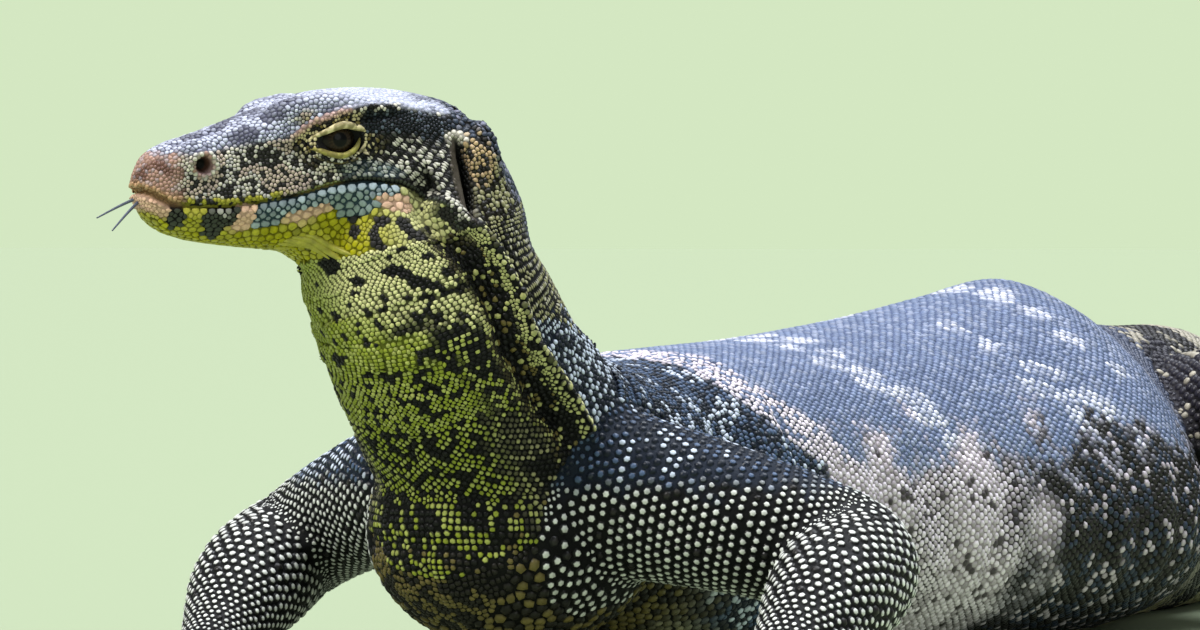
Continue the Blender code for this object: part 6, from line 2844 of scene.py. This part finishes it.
@dataclass
class Claws:
    """Curved claws at the ends of the digits.

    Attributes:
        length: From root to tip.
        radius: At the root.
        tip_height: Height of the tips over the floor.
        arch: How far the middle rises.
        sunk: How far the root lies in the digit.
        rings: Rings of a claw.
        sides: Corners of a ring.
    """

    length: float = 0.013
    radius: float = 0.0026
    tip_height: float = 0.0007
    arch: float = 0.0017
    sunk: float = 0.0008
    rings: int = 14
    sides: int = 16

    def build(self) -> None:
        """Makes every claw."""
        horn = CLAW_HORN.material()
        for leg in LEGS:
            for number, (line, ahead) in enumerate(leg.digit_lines(), 1):
                name = f"claw_{leg.words}_{number}"
                made = new_object(f"{leg.words}_claw_{number}", self.form(line[-1], ahead))
                made.data.materials.append(horn)
                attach(made, "root")
                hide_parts(name)
        log.info("claws")

    def form(self, root: Array, ahead: Array) -> Form:
        """One claw: a tapering curve, narrower than it is tall.

        Args:
            root: Tip of the digit.
            ahead: The way that it points.

        Returns:
            The mesh.
        """
        side = np.cross(ahead, UP)
        turn = turns(self.sides)
        rings = []
        drop = root[2] - self.tip_height
        for t in np.linspace(0.0, 0.97, self.rings):
            rise = self.arch * math.sin(t * math.pi * 0.8) - drop * t**2.2
            centre = root + ahead * (self.length * t - self.sunk) + UP * rise
            thick = self.radius * (1.0 - t) ** 0.62 * 0.98
            ring = np.outer(np.cos(turn), side) * thick * 0.66 + np.outer(np.sin(turn), UP) * thick
            rings.append(centre + ring)
        tip = root + ahead * self.length
        tip[2] = self.tip_height
        rings = np.array(rings)
        rings[..., 2] = np.maximum(rings[..., 2], 0.0003)
        return loft(rings, np.array((root - ahead * self.sunk, tip)))


class EarDrums:
    """The drums of the ears, which keep their solids."""

    def dress(self) -> None:
        """Gives each drum its finish."""
        skin = DRUM_SKIN.material()
        for side in ("left", "right"):
            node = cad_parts[f"ear_{side}"]
            node.data.materials.clear()
            node.data.materials.append(skin)
        log.info("ear drums")


# Studio


@dataclass
class Studio:
    """Floor, lights and camera.

    Attributes:
        eye: The camera's place, from the floor between the shoulders.
        heading: The way that it looks, in degrees from +Y towards -X.
        drop: How far it looks down, in degrees.
        lens: Its focal length for a frame 36 mm wide.
    """

    eye: tuple[float, float, float] = (0.971, -1.749, 0.14)
    heading: float = 28.0
    drop: float = 0.739
    lens: float = 200.0
    # Name, the way that the light comes from, strength, how wide it is in degrees, colour
    SUNS = (
        ("key", (-0.9, -1.5, 2.1), 2.7, 22.0, (1.0, 0.98, 0.95)),
        ("sky", (0.3, 0.7, 2.2), 4.2, 50.0, (0.90, 0.94, 1.0)),
        ("fill", (2.0, -1.5, 0.7), 0.33, 34.0, (0.98, 1.0, 0.95)),
    )
    FLOOR_REACH, FLOOR_LEVEL = 40.0, -0.0002
    FLOOR_COLOUR = (0.300, 0.362, 0.228)
    # The surround: its light, how strong that is, and how it looks in the picture
    AIR_LIGHT, AIR_STRENGTH = (0.86, 0.92, 0.88), 0.32
    AIR_SEEN = (0.66, 0.80, 0.54)

    def build(self) -> None:
        """Makes the studio."""
        self.floor()
        self.lights()
        self.camera()
        log.info("studio")

    def floor(self) -> None:
        """Plain pale floor."""
        data = bpy.data.meshes.new("floor")
        reach, low = self.FLOOR_REACH, self.FLOOR_LEVEL
        corners = [(-reach, -reach, low), (reach, -reach, low), (reach, reach, low), (-reach, reach, low)]
        data.from_pydata(corners, [], [(0, 1, 2, 3)])
        made = linked("floor", data)
        pale = bpy.data.materials.new("pale_floor")
        pale.use_nodes = True
        shader = pale.node_tree.nodes["Principled BSDF"]
        shader.inputs["Base Color"].default_value = (*self.FLOOR_COLOUR, 1.0)
        shader.inputs["Roughness"].default_value = 0.9
        data.materials.append(pale)

    def lights(self) -> None:
        """Broad soft lights: one high on the camera's left, one above and behind, one low fill."""
        for name, origin, strength, width, colour in self.SUNS:
            sun = bpy.data.lights.new(name, "SUN")
            sun.energy = strength
            sun.angle = math.radians(width)
            sun.color = colour
            made = linked(name, sun)
            made.rotation_euler = Vector(origin).to_track_quat("Z", "Y").to_euler()
        world = bpy.data.worlds.new("pale_air")
        world.use_nodes = True
        tree = world.node_tree
        air = tree.nodes["Background"]
        air.inputs["Color"].default_value = (*self.AIR_LIGHT, 1.0)
        air.inputs["Strength"].default_value = self.AIR_STRENGTH
        seen = tree.nodes.new("ShaderNodeBackground")
        seen.inputs["Color"].default_value = (*self.AIR_SEEN, 1.0)
        seen.inputs["Strength"].default_value = 1.0
        mix = tree.nodes.new("ShaderNodeMixShader")
        tree.links.new(tree.nodes.new("ShaderNodeLightPath").outputs["Is Camera Ray"], mix.inputs["Fac"])
        tree.links.new(air.outputs["Background"], mix.inputs[1])
        tree.links.new(seen.outputs["Background"], mix.inputs[2])
        tree.links.new(mix.outputs["Shader"], tree.nodes["World Output"].inputs["Surface"])
        bpy.context.scene.world = world
        bpy.context.scene.view_settings.view_transform = "Standard"

    def camera(self) -> None:
        """Camera at the photograph's viewing angle."""
        data = bpy.data.cameras.new("camera")
        data.lens = self.lens
        data.sensor_width = 36.0
        data.clip_end = 100.0
        made = linked("camera", data)
        made.location = Vector(self.eye) - Vector(REST)
        made.rotation_euler = (math.radians(90.0 - self.drop), 0.0, math.radians(self.heading))
        bpy.context.scene.camera = made


def main() -> None:
    """Builds the animal and its studio."""
    logging.basicConfig(level=logging.INFO, format="%(name)s %(relativeCreated)d ms: %(message)s")
    Studio().build()
    body, markings = BodyMap(), Markings()
    surface = Skin().build(body, markings)
    for hand in (LEFT, RIGHT):
        Eye(hand).build()
        Lids(hand).build(surface)
    Frill().build(surface)
    Tongue().build()
    Claws().build()
    EarDrums().dress()
    ScaleCoat(body, surface, markings).build()


if __name__ == "__main__":
    main()
